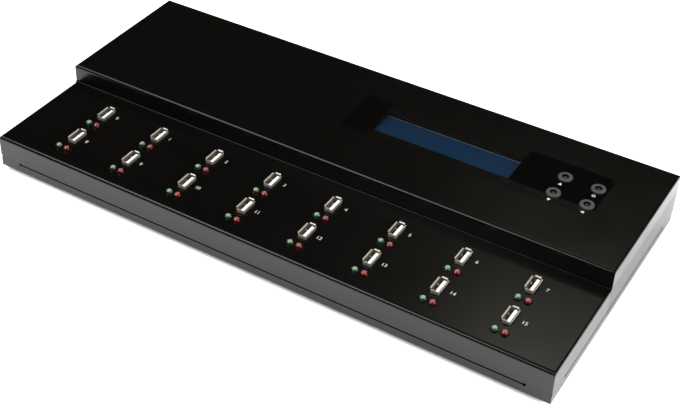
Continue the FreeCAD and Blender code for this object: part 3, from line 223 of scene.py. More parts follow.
def grain(material, pattern, depth):
    """Raises the surface by a pattern, depth in metres, on top of any grain it already has."""
    tree = material.node_tree
    bump = tree.nodes.new("ShaderNodeBump")
    bump.inputs["Strength"].default_value = 1.0
    bump.inputs["Distance"].default_value = depth
    tree.links.new(pattern, bump.inputs["Height"])
    normal = shader_of(material).inputs["Normal"]
    if normal.is_linked:
        tree.links.new(normal.links[0].from_socket, bump.inputs["Normal"])
    tree.links.new(bump.outputs["Normal"], normal)


def rubbed_edges(material, width, amount):
    """A mask that is bright only where the surface turns sharply, broken up by noise."""
    worn_turn, broken_range = (0.80, 0.97), (0.45, 0.65)
    tree = material.node_tree
    bevel = tree.nodes.new("ShaderNodeBevel")
    bevel.samples = 4
    bevel.inputs["Radius"].default_value = width
    true_normal = tree.nodes.new("ShaderNodeNewGeometry")
    cosine = tree.nodes.new("ShaderNodeVectorMath")
    cosine.operation = "DOT_PRODUCT"
    tree.links.new(bevel.outputs["Normal"], cosine.inputs[0])
    tree.links.new(true_normal.outputs["Normal"], cosine.inputs[1])
    edge = spread(material, cosine.outputs["Value"], amount, 0.0, worn_turn)
    broken = spread(material, mottle(material, 0.004, 5.0), 0.0, 1.0, broken_range)
    return combine(material, "MULTIPLY", edge, broken)


def place_axes(material):
    """The X, Y and Z of a place in the piece's own frame."""
    tree = material.node_tree
    place = tree.nodes.new("ShaderNodeTexCoord")
    axes = tree.nodes.new("ShaderNodeSeparateXYZ")
    tree.links.new(place.outputs["Object"], axes.inputs["Vector"])
    return axes.outputs


def dress(node_names, material):
    """Puts a material in every slot of the named CAD nodes."""
    for node_name in node_names:
        for material_slot in nodes[node_name].material_slots:
            material_slot.material = material


case_paint = new_finish("black_case_paint", (0.0008, 0.0007, 0.0005), 0.24, {"IOR": 1.46})
paint_tone = blend_colours(case_paint, mottle(case_paint, 0.06, 4.0),
                           (0.0006, 0.0005, 0.0003), (0.0011, 0.0010, 0.0007))
vary_colour(case_paint, rubbed_edges(case_paint, 0.0005, 0.3), paint_tone, (0.012, 0.011, 0.010))
vary_gloss(case_paint, mottle(case_paint, 0.03, 5.0), 0.22, 0.27)
grain(case_paint, mottle(case_paint, 0.0016, 2.0), 0.000004)
riser_foot = on_case(0, RISER_DEPTH, PORT_DECK_HEIGHT)
case_axes = place_axes(case_paint)
dull = combine(case_paint, "MULTIPLY",
               spread(case_paint, case_axes["Y"], 0.0, 1.0,
                      (riser_foot.y - DULL_REACH, riser_foot.y - DULL_REACH + DULL_FADE)),
               spread(case_paint, case_axes["Z"], 1.0, 0.0,
                      (riser_foot.z + DULL_REACH - DULL_FADE, riser_foot.z + DULL_REACH)))
case_paint.node_tree.links.new(spread(case_paint, dull, 0.5, 0.2, (0.0, 1.0)),
                               shader_of(case_paint).inputs["Specular IOR Level"])
dress(["top_cover", "base_pan"], case_paint)

# The brackets, stand-offs and display clamp: pressed or turned steel, zinc plated, with the faint
# spangle and handling marks that such plating has.
zinc = new_finish("zinc_plate", (0.55, 0.56, 0.56), 0.38, {"Metallic": 1.0})
vary_colour(zinc, clouds(zinc, 0.004, 4.0), (0.44, 0.45, 0.46), (0.62, 0.63, 0.62))
vary_gloss(zinc, mottle(zinc, 0.0015, 3.0), 0.28, 0.48)
grain(zinc, mottle(zinc, 0.0008, 2.0), 0.00001)
dress(["cover_brackets", "board_standoffs", "deck_standoffs", "lcd_bezel"], zinc)

# The screws: cross-recess pan heads in black-plated steel, seven in the case and the rest inside.
# The plating has worn bright at the rims of the heads.
screw_steel = new_finish("black_screw_plate", (0.055, 0.055, 0.058), 0.36, {"Metallic": 0.9})
vary_colour(screw_steel, rubbed_edges(screw_steel, 0.0003, 0.9), (0.05, 0.05, 0.053),
            (0.35, 0.35, 0.34))
vary_gloss(screw_steel, mottle(screw_steel, 0.0006, 3.0), 0.26, 0.46)
grain(screw_steel, mottle(screw_steel, 0.0004, 2.0), 0.000006)
dress(["case_screws", "board_screws"], screw_steel)

# The feet: four tapered pads of moulded black rubber, glued under the pan. Their skin is matte
# and holds a little dust.
foot_rubber = new_finish("foot_rubber", (0.018, 0.018, 0.018), 0.78, {"Specular IOR Level": 0.3})
vary_colour(foot_rubber, clouds(foot_rubber, 0.002, 5.0),
            (0.012, 0.012, 0.012), (0.04, 0.039, 0.037))
vary_gloss(foot_rubber, mottle(foot_rubber, 0.001, 3.0), 0.68, 0.88)
grain(foot_rubber, mottle(foot_rubber, 0.0005, 3.0), 0.00003)
dress(["rubber_feet"], foot_rubber)

# The boards: glass-fibre boards under green solder mask, with copper tracks that show through it
# as slightly raised, lighter lines.
solder_mask = new_finish("solder_mask", (0.015, 0.10, 0.04), 0.32, {"Coat Weight": 0.4})
tracks = solder_mask.node_tree.nodes.new("ShaderNodeTexBrick")
tracks.offset = 0.5
tracks.inputs["Scale"].default_value = 120.0
tracks.inputs["Mortar Size"].default_value = 0.06
tracks.inputs["Mortar Smooth"].default_value = 0.3
tracks.inputs["Row Height"].default_value = 0.3
tracks_place = solder_mask.node_tree.nodes.new("ShaderNodeTexCoord")
solder_mask.node_tree.links.new(tracks_place.outputs["Object"], tracks.inputs["Vector"])
vary_colour(solder_mask, tracks.outputs["Fac"], (0.010, 0.085, 0.030), (0.030, 0.150, 0.060))
vary_gloss(solder_mask, mottle(solder_mask, 0.004, 3.0), 0.25, 0.42)
grain(solder_mask, tracks.outputs["Fac"], 0.00003)
dress(["main_board", "port_board_left", "port_board_right", "lcd_board", "keypad_board"],
      solder_mask)

# The moulded parts on the boards: chips, headers, switch housings and beeper, in matte black
# epoxy with a fine sparked texture.
chip_epoxy = new_finish("chip_epoxy", (0.02, 0.02, 0.021), 0.6)
vary_colour(chip_epoxy, clouds(chip_epoxy, 0.002, 4.0),
            (0.014, 0.014, 0.015), (0.035, 0.035, 0.036))
vary_gloss(chip_epoxy, mottle(chip_epoxy, 0.001, 3.0), 0.5, 0.72)
grain(chip_epoxy, mottle(chip_epoxy, 0.0003, 2.0), 0.00001)
dress(["controller_chip", "memory_chips", "hub_chips", "key_switches", "beeper",
       "ribbon_headers"], chip_epoxy)

# The heatsink and the capacitors' cans: bare aluminium, drawn or extruded, with fine lines along
# the drawing.
bare_aluminium = new_finish("bare_aluminium", (0.74, 0.75, 0.76), 0.33, {"Metallic": 1.0})
vary_colour(bare_aluminium, clouds(bare_aluminium, 0.003, 3.0),
            (0.66, 0.67, 0.68), (0.78, 0.79, 0.80))
vary_gloss(bare_aluminium, mottle(bare_aluminium, 0.002, 4.0, (1, 8, 1)), 0.24, 0.44)
grain(bare_aluminium, mottle(bare_aluminium, 0.0006, 3.0, (1, 12, 1)), 0.000008)
dress(["heatsink", "capacitors"], bare_aluminium)

# The two power coils: drums of pressed ferrite, dark grey and slightly granular, soldered flat on
# the main board.
ferrite = new_finish("ferrite", (0.06, 0.06, 0.063), 0.55)
vary_colour(ferrite, clouds(ferrite, 0.0012, 4.0), (0.04, 0.04, 0.043), (0.10, 0.10, 0.105))
vary_gloss(ferrite, mottle(ferrite, 0.0008, 3.0), 0.45, 0.68)
grain(ferrite, mottle(ferrite, 0.0004, 3.0), 0.00002)
dress(["inductors"], ferrite)

# The cables inside: grey ribbon with one ridge for each conductor, and two soft red switch wires.
# Both are copper in extruded vinyl, laid from header to header or soldered to the switch.
ribbon_vinyl = new_finish("ribbon_vinyl", (0.42, 0.43, 0.44), 0.5)
ridges = ribbon_vinyl.node_tree.nodes.new("ShaderNodeTexWave")
ridges.bands_direction = "X"
ridges.inputs["Scale"].default_value = 250.0
ridges_place = ribbon_vinyl.node_tree.nodes.new("ShaderNodeTexCoord")
ribbon_vinyl.node_tree.links.new(ridges_place.outputs["Object"], ridges.inputs["Vector"])
# Painted shade: the ribbon is coloured darker in the grooves between its ridges, lighter on top.
vary_colour(ribbon_vinyl, ridges.outputs["Fac"], (0.30, 0.31, 0.32), (0.46, 0.47, 0.48))
vary_gloss(ribbon_vinyl, mottle(ribbon_vinyl, 0.003, 3.0), 0.42, 0.6)
grain(ribbon_vinyl, ridges.outputs["Fac"], 0.0002)
dress(["ribbon_cables"], ribbon_vinyl)
wire_vinyl = new_finish("wire_vinyl", (0.42, 0.02, 0.02), 0.45)
vary_colour(wire_vinyl, clouds(wire_vinyl, 0.004, 3.0), (0.34, 0.015, 0.015), (0.48, 0.03, 0.03))
vary_gloss(wire_vinyl, mottle(wire_vinyl, 0.002, 3.0), 0.38, 0.55)
grain(wire_vinyl, mottle(wire_vinyl, 0.0006, 2.0), 0.00001)
dress(["power_wires"], wire_vinyl)

# The sockets: drawn shells with flared lips, nickel plated. The plating is bright but soft outside,
# with fine drawing marks up and down the walls. Inside, each shell is coloured dark brown: painted
# shade of the deep socket, with a painted reflection of its gilt strips.
first_low, first_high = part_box("usb_shell_01")
last_low, last_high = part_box("usb_shell_16")
first_socket = (first_low + first_high) / 2
last_socket = (last_low + last_high) / 2
PORT_COLUMNS = 8
PORT_ROWS = 2
PORT_PITCH = (last_socket.x - first_socket.x) / (PORT_COLUMNS - 1)
ROW_PITCH = first_socket.y - last_socket.y
SOCKET_RIM = first_high.z
INSIDE_X = 2.68 * MM
INSIDE_Y = 6.38 * MM
INSIDE_FADE = 0.04 * MM


def nickel_finish(name, metallic):
    """Bright nickel plate and the colour of its outside."""
    plate = new_finish(name, (0.82, 0.79, 0.71), 0.4, {"Metallic": metallic})
    tone = blend_colours(plate, clouds(plate, 0.0025, 4.0), (0.76, 0.73, 0.65), (0.88, 0.86, 0.79))
    plate.node_tree.links.new(tone, shader_of(plate).inputs["Base Color"])
    vary_gloss(plate, mottle(plate, 0.0009, 3.0, (3, 3, 0.4)), 0.30, 0.44)
    grain(plate, mottle(plate, 0.0003, 2.0, (3, 3, 0.3)), 0.000005)
    return plate, tone


def off_middle(material, axis, middle, pitch):
    """How far a place is from the middle of the nearest socket or light along an axis, signed."""
    tree = material.node_tree
    wrap = tree.nodes.new("ShaderNodeMath")
    wrap.operation = "WRAP"
    wrap.inputs[1].default_value = middle + pitch / 2
    wrap.inputs[2].default_value = middle - pitch / 2
    tree.links.new(place_axes(material)[axis], wrap.inputs[0])
    off = tree.nodes.new("ShaderNodeMath")
    off.operation = "SUBTRACT"
    off.inputs[1].default_value = middle
    tree.links.new(wrap.outputs["Value"], off.inputs[0])
    return off.outputs["Value"]


def beyond(material, axis, middle, pitch, reach):
    """1 where a place is farther than reach from the middle of its socket along an axis, else 0."""
    size = material.node_tree.nodes.new("ShaderNodeMath")
    size.operation = "ABSOLUTE"
    material.node_tree.links.new(off_middle(material, axis, middle, pitch), size.inputs[0])
    return spread(material, size.outputs["Value"], 0.0, 1.0,
                  (reach - INSIDE_FADE, reach + INSIDE_FADE))


nickel, nickel_tone = nickel_finish("socket_nickel", 0.88)
# Painted shade: inside each shell the plate is coloured dark brown instead of its nickel tone.
unshaded_outside = combine(nickel, "MAXIMUM",
                  beyond(nickel, "X", first_socket.x, PORT_PITCH, INSIDE_X),
                  beyond(nickel, "Y", first_socket.y, ROW_PITCH, INSIDE_Y))
vary_colour(nickel, unshaded_outside, (0.30, 0.26, 0.18), nickel_tone)
dress(["usb_shell_%02d" % number for number in range(1, PORT_COLUMNS * PORT_ROWS + 1)], nickel)

# The white tongues inside the sockets, moulded in glossy heat-proof plastic, and the gilt strips
# on them. The same gilding is on the pin of the power socket and the blades of the switch.
tongue_white = new_finish("tongue_white", (0.82, 0.81, 0.77), 0.34,
                          {"Subsurface Weight": 0.15, "Subsurface Scale": 0.0008})
vary_colour(tongue_white, clouds(tongue_white, 0.003, 3.0), (0.76, 0.75, 0.70), (0.86, 0.85, 0.82))
vary_gloss(tongue_white, mottle(tongue_white, 0.001, 3.0), 0.28, 0.42)
grain(tongue_white, mottle(tongue_white, 0.0005, 2.0), 0.000006)
dress(["usb_insulators"], tongue_white)
gilt = new_finish("contact_gilt", (0.86, 0.62, 0.26), 0.26, {"Metallic": 1.0})
vary_colour(gilt, clouds(gilt, 0.001, 3.0), (0.74, 0.50, 0.20), (0.92, 0.70, 0.34))
vary_gloss(gilt, mottle(gilt, 0.0006, 3.0), 0.2, 0.36)
grain(gilt, mottle(gilt, 0.0003, 2.0), 0.000003)
dress(["usb_contacts", "dc_jack_pin", "switch_terminals"], gilt)

# The contact bumps of the sockets: a small domed boss, coined into each of the four spring fingers
# of a shell just above its knee, where it presses on a plug. One set serves all sixteen sockets.
BUMP_RADIUS = 0.6 * MM
BUMP_HEIGHT = 0.38 * MM
BUMP_REACH = 2.35 * MM
BUMP_DROP = 3.75 * MM
BUMP_OFFSET = 2.9 * MM
BUMP_TILT = math.radians(30)
BUMP_RINGS = 5
BUMP_SIDES = 18


def contact_bump(work, side, middle_y):
    """A shallow dome on the finger of the wall at side (-1 or 1), facing inwards and up."""
    seat = Vector((side * BUMP_REACH, middle_y, -BUMP_DROP))
    out = Vector((-side * math.cos(BUMP_TILT), 0, math.sin(BUMP_TILT)))
    across = Vector((0, 1, 0))
    upward = out.cross(across)
    rings = []
    for ring in range(BUMP_RINGS):
        lift = math.pi / 2 * ring / BUMP_RINGS
        centre = seat + out * (BUMP_HEIGHT * math.sin(lift))
        radius = BUMP_RADIUS * math.cos(lift)
        rings.append([work.verts.new(centre + radius * (across * math.cos(turn)
                                                        + upward * math.sin(turn)))
                      for turn in (2 * math.pi * k / BUMP_SIDES for k in range(BUMP_SIDES))])
    top = work.verts.new(seat + out * BUMP_HEIGHT)
    for lower, upper in zip(rings, rings[1:]):
        for index in range(BUMP_SIDES):
            after = (index + 1) % BUMP_SIDES
            work.faces.new((lower[index], lower[after], upper[after], upper[index]))
    for index in range(BUMP_SIDES):
        work.faces.new((rings[-1][index], rings[-1][(index + 1) % BUMP_SIDES], top))
    work.faces.new(rings[0][::-1])


bump_work = bmesh.new()
for bump_side in (-1, 1):
    for bump_middle in (-BUMP_OFFSET, BUMP_OFFSET):
        contact_bump(bump_work, bump_side, bump_middle)
bmesh.ops.recalc_face_normals(bump_work, faces=bump_work.faces)
for bump_face in bump_work.faces:
    bump_face.smooth = True
bump_mesh = bpy.data.meshes.new("socket_bump_set")
bump_work.to_mesh(bump_mesh)
bump_work.free()


def grid_tree(name, material):
    """A tree that repeats one piece over a grid: columns along X, rows along Y."""
    tree = bpy.data.node_groups.new(name, "GeometryNodeTree")
    for label, kind in (("Geometry", "NodeSocketGeometry"), ("Piece", "NodeSocketObject"),
                        ("Columns", "NodeSocketInt"), ("Rows", "NodeSocketInt"),
                        ("Column pitch", "NodeSocketFloat"), ("Row pitch", "NodeSocketFloat"),
                        ("Middle", "NodeSocketVector")):
        tree.interface.new_socket(label, in_out="INPUT", socket_type=kind)
    tree.interface.new_socket("Geometry", in_out="OUTPUT", socket_type="NodeSocketGeometry")
    start = tree.nodes.new("NodeGroupInput")
    end = tree.nodes.new("NodeGroupOutput")
    grid = tree.nodes.new("GeometryNodeMeshGrid")
    spans = []
    for count, pitch in (("Columns", "Column pitch"), ("Rows", "Row pitch")):
        gaps = tree.nodes.new("ShaderNodeMath")
        gaps.operation = "SUBTRACT"
        gaps.inputs[1].default_value = 1.0
        tree.links.new(start.outputs[count], gaps.inputs[0])
        span = tree.nodes.new("ShaderNodeMath")
        span.operation = "MULTIPLY"
        tree.links.new(gaps.outputs["Value"], span.inputs[0])
        tree.links.new(start.outputs[pitch], span.inputs[1])
        spans.append(span.outputs["Value"])
    tree.links.new(spans[0], grid.inputs["Size X"])
    tree.links.new(spans[1], grid.inputs["Size Y"])
    tree.links.new(start.outputs["Columns"], grid.inputs["Vertices X"])
    tree.links.new(start.outputs["Rows"], grid.inputs["Vertices Y"])
    move = tree.nodes.new("GeometryNodeTransform")
    tree.links.new(grid.outputs["Mesh"], move.inputs["Geometry"])
    tree.links.new(start.outputs["Middle"], move.inputs["Translation"])
    piece = tree.nodes.new("GeometryNodeObjectInfo")
    tree.links.new(start.outputs["Piece"], piece.inputs["Object"])
    copies = tree.nodes.new("GeometryNodeInstanceOnPoints")
    tree.links.new(move.outputs["Geometry"], copies.inputs["Points"])
    tree.links.new(piece.outputs["Geometry"], copies.inputs["Instance"])
    real = tree.nodes.new("GeometryNodeRealizeInstances")
    tree.links.new(copies.outputs["Instances"], real.inputs["Geometry"])
    coat = tree.nodes.new("GeometryNodeSetMaterial")
    coat.inputs["Material"].default_value = material
    tree.links.new(real.outputs["Geometry"], coat.inputs["Geometry"])
    tree.links.new(coat.outputs["Geometry"], end.inputs["Geometry"])
    return tree


def repeated(name, mesh, material, columns, rows, column_pitch, row_pitch, middle):
    """The plain mesh of one piece repeated over a grid."""
    sample = bpy.data.objects.new(name + "_sample", mesh)
    scene.collection.objects.link(sample)
    holder = bpy.data.objects.new(name, bpy.data.meshes.new(name + "_start"))
    scene.collection.objects.link(holder)
    tree = grid_tree(name + "_grid", material)
    modifier = holder.modifiers.new("grid", "NODES")
    modifier.node_group = tree
    values = {"Piece": sample, "Columns": columns, "Rows": rows, "Column pitch": column_pitch,
              "Row pitch": row_pitch, "Middle": middle}
    for item in tree.interface.items_tree:
        if item.in_out == "INPUT" and item.name in values:
            modifier[item.identifier] = values[item.name]
    holder.update_tag()
    bpy.context.view_layer.update()
    evaluated = holder.evaluated_get(bpy.context.evaluated_depsgraph_get())
    result = bpy.data.meshes.new_from_object(evaluated)
    result.name = name
    holder.modifiers.clear()
    holder.data = result
    bpy.data.objects.remove(sample)
    return holder


sockets_middle = (first_socket + last_socket) / 2
coined_nickel = nickel_finish("coined_nickel", 0.55)[0]
socket_bumps = repeated("socket_bumps", bump_mesh, coined_nickel, PORT_COLUMNS, PORT_ROWS,
                        PORT_PITCH, ROW_PITCH, (sockets_middle.x, sockets_middle.y, SOCKET_RIM))
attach(socket_bumps, "chassis")

# The lights: 5 mm domed epoxy, tinted and slightly clouded, unlit. The middle of each dome is
# coloured pale as a painted highlight, and round it the epoxy is coloured dark as painted shade.
PAINTED_GLOW_RADIUS = 1.1 * MM
LENS_EDGE = 2.2 * MM
LENS_FLANGE = 2.9 * MM


def lens_finish(name, node_name, tint, shade, painted_rim_shade):
    """A tinted dome with a painted highlight in its middle; the last colour is painted shade at the
    rim.
    """
    lens = new_finish(name, tint, 0.1, {"IOR": 1.53, "Transmission Weight": 0.9,
                                        "Coat Weight": 0.8, "Coat Roughness": 0.04})
    lens_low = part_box(node_name)[0]
    flat = lens.node_tree.nodes.new("ShaderNodeCombineXYZ")
    for axis, middle, pitch in (("X", lens_low.x + LENS_FLANGE, PORT_PITCH),
                                ("Y", lens_low.y + LENS_FLANGE, ROW_PITCH)):
        lens.node_tree.links.new(off_middle(lens, axis, middle, pitch), flat.inputs[axis])
    off_axis = lens.node_tree.nodes.new("ShaderNodeVectorMath")
    off_axis.operation = "LENGTH"
    lens.node_tree.links.new(flat.outputs["Vector"], off_axis.inputs[0])
    rim = spread(lens, off_axis.outputs["Value"], 0.0, 1.0, (PAINTED_GLOW_RADIUS, LENS_EDGE))
    painted_glow_tone = blend_colours(lens, clouds(lens, 0.0015, 3.0), tint, shade)
    # Painted highlight and shade: the pale clouded tint in the middle, the dark last colour at the
    # rim.
    vary_colour(lens, rim, painted_glow_tone, painted_rim_shade)
    lens.node_tree.links.new(spread(lens, rim, 0.62, 0.92, (0.0, 1.0)),
                             shader_of(lens).inputs["Transmission Weight"])
    vary_gloss(lens, mottle(lens, 0.0008, 2.0), 0.10, 0.18)
    grain(lens, mottle(lens, 0.0005, 2.0), 0.000003)
    return lens


# Each light's last colour is its painted rim shade; the first two make its painted highlight.
green_lens = lens_finish("green_lens", "green_leds", (0.40, 0.56, 0.41), (0.31, 0.48, 0.33),
                         (0.06, 0.15, 0.08))
red_lens = lens_finish("red_lens", "red_leds", (0.52, 0.16, 0.15), (0.44, 0.11, 0.10),
                       (0.24, 0.015, 0.015))
dress(["green_leds"], green_lens)
dress(["red_leds"], red_lens)

# The spacers under the lights: black plastic tube, cut to length and slipped over the legs, with a
# satin skin.
spacer_plastic = new_finish("spacer_plastic", (0.006, 0.006, 0.006), 0.38)
vary_colour(spacer_plastic, clouds(spacer_plastic, 0.001, 3.0),
            (0.004, 0.004, 0.004), (0.010, 0.010, 0.010))
vary_gloss(spacer_plastic, mottle(spacer_plastic, 0.0008, 3.0), 0.3, 0.46)
grain(spacer_plastic, mottle(spacer_plastic, 0.0004, 2.0), 0.000005)
dress(["led_spacers"], spacer_plastic)

# The film on the high deck: smooth black polyester with a window for the display and four round
# cut-outs. Its two ends are printed a deeper black than its middle, which matches the paint.
film_skin = new_finish("film_skin", (0.0008, 0.0007, 0.0005), 0.2, {"IOR": 1.5})
film_low, film_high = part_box("display_overlay")
window_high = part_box("display_window")[1]
film_axes = place_axes(film_skin)
LEFT_BLOCK_WIDTH = 20.5 * MM
RIGHT_BLOCK_LEFT = window_high.x - 4.0 * MM
RIGHT_BLOCK_FRONT = film_low.y + 6.0 * MM
BLOCK_FADE = 0.3 * MM


def printed_block(x_low, x_high, depth_low, depth_high):
    """A mask that is 1 inside a rectangle of the film and 0 outside it."""
    mask = None
    for axis, low, high in (("X", x_low, x_high), ("Y", depth_low, depth_high)):
        rise = spread(film_skin, film_axes[axis], 0.0, 1.0, (low - BLOCK_FADE, low + BLOCK_FADE))
        fall = spread(film_skin, film_axes[axis], 1.0, 0.0, (high - BLOCK_FADE, high + BLOCK_FADE))
        band = combine(film_skin, "MULTIPLY", rise, fall)
        mask = combine(film_skin, "MULTIPLY", mask, band) if mask else band
    return mask


film_blocks = combine(
    film_skin, "MAXIMUM",
    printed_block(film_low.x - MM, film_low.x + LEFT_BLOCK_WIDTH, film_low.y - MM,
                  film_high.y + MM),
    printed_block(RIGHT_BLOCK_LEFT, film_high.x + MM, RIGHT_BLOCK_FRONT, film_high.y + MM))
film_tone = blend_colours(film_skin, mottle(film_skin, 0.05, 4.0), (0.0010, 0.0008, 0.0005),
                          (0.0016, 0.0012, 0.0008))
vary_colour(film_skin, film_blocks, film_tone, (0.0001, 0.0001, 0.0002))
film_gloss = combine(film_skin, "MULTIPLY", spread(film_skin, film_blocks, 1.0, 0.55, (0.0, 1.0)),
                     spread(film_skin, mottle(film_skin, 0.01, 5.0), 0.18, 0.25))
film_skin.node_tree.links.new(film_gloss, shader_of(film_skin).inputs["Roughness"])
grain(film_skin, mottle(film_skin, 0.0008, 2.0), 0.000002)
dress(["display_overlay"], film_skin)

# The display: a clear acrylic pane under the deck, a foam frame, then blue display glass over a
# white light box, all held by the steel clamp. The glass carries two faint rows of sixteen
# character cells.
clear_pane = new_finish("clear_pane", (0.93, 0.96, 1.0), 0.03,
                        {"IOR": 1.49, "Transmission Weight": 1.0})
vary_gloss(clear_pane, mottle(clear_pane, 0.01, 4.0), 0.02, 0.06)
grain(clear_pane, mottle(clear_pane, 0.004, 2.0), 0.000002)
dress(["display_window"], clear_pane)
gasket_foam = new_finish("gasket_foam", (0.004, 0.004, 0.004), 0.9, {"Specular IOR Level": 0.2})
vary_colour(gasket_foam, clouds(gasket_foam, 0.0006, 4.0),
            (0.003, 0.003, 0.003), (0.008, 0.008, 0.008))
vary_gloss(gasket_foam, mottle(gasket_foam, 0.0006, 3.0), 0.8, 0.95)
grain(gasket_foam, mottle(gasket_foam, 0.0003, 3.0), 0.00005)
dress(["display_gasket"], gasket_foam)
display_blue = new_finish("display_blue", (0.006, 0.024, 0.062), 0.22)
glass_low, glass_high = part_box("lcd_glass")
CELL_WIDTH = 5.95 * MM
CELL_HEIGHT = 10.4 * MM
CELL_GAP = 0.5 * MM
cells = display_blue.node_tree.nodes.new("ShaderNodeTexBrick")
cells.offset = 0.0
cells.inputs["Scale"].default_value = 1.0
cells.inputs["Brick Width"].default_value = CELL_WIDTH
cells.inputs["Row Height"].default_value = CELL_HEIGHT
cells.inputs["Mortar Size"].default_value = CELL_GAP
cells.inputs["Mortar Smooth"].default_value = 0.1
cells_place = display_blue.node_tree.nodes.new("ShaderNodeTexCoord")
cells_shift = display_blue.node_tree.nodes.new("ShaderNodeMapping")
glass_middle = (glass_low + glass_high) / 2
cells_shift.inputs["Location"].default_value = (-glass_middle.x, -glass_middle.y, 0)
display_blue.node_tree.links.new(cells_place.outputs["Object"], cells_shift.inputs["Vector"])
display_blue.node_tree.links.new(cells_shift.outputs["Vector"], cells.inputs["Vector"])
display_tone = blend_colours(display_blue, mottle(display_blue, 0.05, 2.0),
                             (0.0036, 0.056, 0.140), (0.0050, 0.068, 0.172))
display_cells = spread(display_blue, cells.outputs["Fac"], 0.10, 0.0, (0.0, 1.0))
vary_colour(display_blue, display_cells, display_tone, (0.009, 0.096, 0.21))
vary_gloss(display_blue, mottle(display_blue, 0.01, 3.0), 0.18, 0.26)
grain(display_blue, mottle(display_blue, 0.001, 2.0), 0.000001)
dress(["lcd_glass"], display_blue)
light_box = new_finish("light_box_white", (0.82, 0.83, 0.83), 0.5)
vary_colour(light_box, clouds(light_box, 0.006, 3.0), (0.76, 0.77, 0.77), (0.86, 0.87, 0.87))
vary_gloss(light_box, mottle(light_box, 0.002, 3.0), 0.42, 0.6)
grain(light_box, mottle(light_box, 0.0006, 2.0), 0.00001)
dress(["lcd_backlight"], light_box)

# The four push buttons: moulded in grey plastic, satin, with a small grey pip in a dish. The dish
# round the pip is coloured near black as painted shade. Fingers have polished their rims a little.
BUTTON_DISH = 2.5 * MM
BUTTON_PIP = 0.75 * MM
DISH_FADE = 0.1 * MM
for button_name in ("button_up", "button_down", "button_ok", "button_back"):
    button_low, button_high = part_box(button_name)
    button_finish = new_finish(button_name + "_grey", (0.02, 0.02, 0.021), 0.42)
    button_tree = button_finish.node_tree
    button_place = button_tree.nodes.new("ShaderNodeTexCoord")
    button_shift = button_tree.nodes.new("ShaderNodeMapping")
    button_shift.inputs["Location"].default_value = (-(button_low.x + button_high.x) / 2,
                                                     -(button_low.y + button_high.y) / 2, 0)
    button_shift.inputs["Scale"].default_value = (1, 1, 0)
    button_tree.links.new(button_place.outputs["Object"], button_shift.inputs["Vector"])
    button_radius = button_tree.nodes.new("ShaderNodeVectorMath")
    button_radius.operation = "LENGTH"
    button_tree.links.new(button_shift.outputs["Vector"], button_radius.inputs[0])
    off_centre = button_radius.outputs["Value"]
    painted_dish_shade = combine(
        button_finish, "MULTIPLY",
        spread(button_finish, off_centre, 0.0, 1.0,
               (BUTTON_PIP - DISH_FADE, BUTTON_PIP + DISH_FADE)),
        spread(button_finish, off_centre, 1.0, 0.0,
               (BUTTON_DISH - DISH_FADE, BUTTON_DISH + DISH_FADE)))
    button_tone = blend_colours(button_finish, mottle(button_finish, 0.002, 4.0),
                                (0.028, 0.028, 0.029), (0.042, 0.042, 0.043))
    button_worn = blend_colours(button_finish, rubbed_edges(button_finish, 0.0005, 0.5),
                                button_tone, (0.08, 0.08, 0.08))
    # Painted shade: the dish round the pip is coloured near black.
    vary_colour(button_finish, painted_dish_shade, button_worn, (0.0015, 0.0015, 0.0015))
    vary_gloss(button_finish, mottle(button_finish, 0.0015, 4.0), 0.36, 0.52)
    grain(button_finish, mottle(button_finish, 0.0003, 2.0), 0.000008)
    dress([button_name], button_finish)

# The print on the decks: plain numbers beside the sockets, 0 for the first and 1 to 15 for the
# rest, and a plain mark in front of each button. It is white ink, laid on by screen.
print_white = new_finish("print_white", (0.36, 0.36, 0.35), 0.5)
vary_colour(print_white, clouds(print_white, 0.0007, 4.0), (0.28, 0.28, 0.27), (0.42, 0.42, 0.40))
vary_gloss(print_white, mottle(print_white, 0.0005, 3.0), 0.42, 0.6)
grain(print_white, mottle(print_white, 0.0002, 2.0), 0.000003)
INK_THICKNESS = 0.02 * MM
NUMBER_HEIGHT = 2.8 * MM
NUMBER_GAP = 8.1 * MM
NUMBER_SHIFTS = (0.8 * MM, -0.75 * MM)
LETTER_EXTRUDE = 0.001
PORT_DECK = CASE_BOTTOM + PORT_DECK_HEIGHT * MM


def ink_object(name, mesh):
    """A printed piece that stays on the case."""
    piece = bpy.data.objects.new(name, mesh)
    scene.collection.objects.link(piece)
    mesh.materials.clear()
    mesh.materials.append(print_white)
    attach(piece, "chassis")


number_work = bmesh.new()
for port in range(PORT_COLUMNS * PORT_ROWS):
    row, column = divmod(port, PORT_COLUMNS)
    letters = bpy.data.curves.new("port_number", "FONT")
    letters.body = str(port)
    letters.size = 1.0
    letters.extrude = LETTER_EXTRUDE
    letters.resolution_u = 6
    typed = bpy.data.objects.new("port_number", letters)
    scene.collection.objects.link(typed)
    bpy.context.view_layer.update()
    typed_mesh = bpy.data.meshes.new_from_object(
        typed.evaluated_get(bpy.context.evaluated_depsgraph_get()))
    xs = [vertex.co.x for vertex in typed_mesh.vertices]
    ys = [vertex.co.y for vertex in typed_mesh.vertices]
    scale = NUMBER_HEIGHT / (max(ys) - min(ys))
    left = first_socket.x + column * PORT_PITCH + NUMBER_GAP
    middle_y = first_socket.y - row * ROW_PITCH + NUMBER_SHIFTS[row]
    lay = (Matrix.Translation((left, middle_y, PORT_DECK + INK_THICKNESS / 2))
           @ Matrix.Diagonal((scale, scale, INK_THICKNESS / (2 * LETTER_EXTRUDE), 1))
           @ Matrix.Translation((-min(xs), -(max(ys) + min(ys)) / 2, 0)))
    typed_mesh.transform(lay)
    number_work.from_mesh(typed_mesh)
    bpy.data.objects.remove(typed)
    bpy.data.curves.remove(letters)
number_mesh = bpy.data.meshes.new("port_numbers")
number_work.to_mesh(number_mesh)
number_work.free()
ink_object("port_numbers", number_mesh)

MARK_SIZE = 2.5 * MM
MARK_DROP = 8.05 * MM
RING_HOLE = 0.6
FILM_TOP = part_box("display_overlay")[1].z


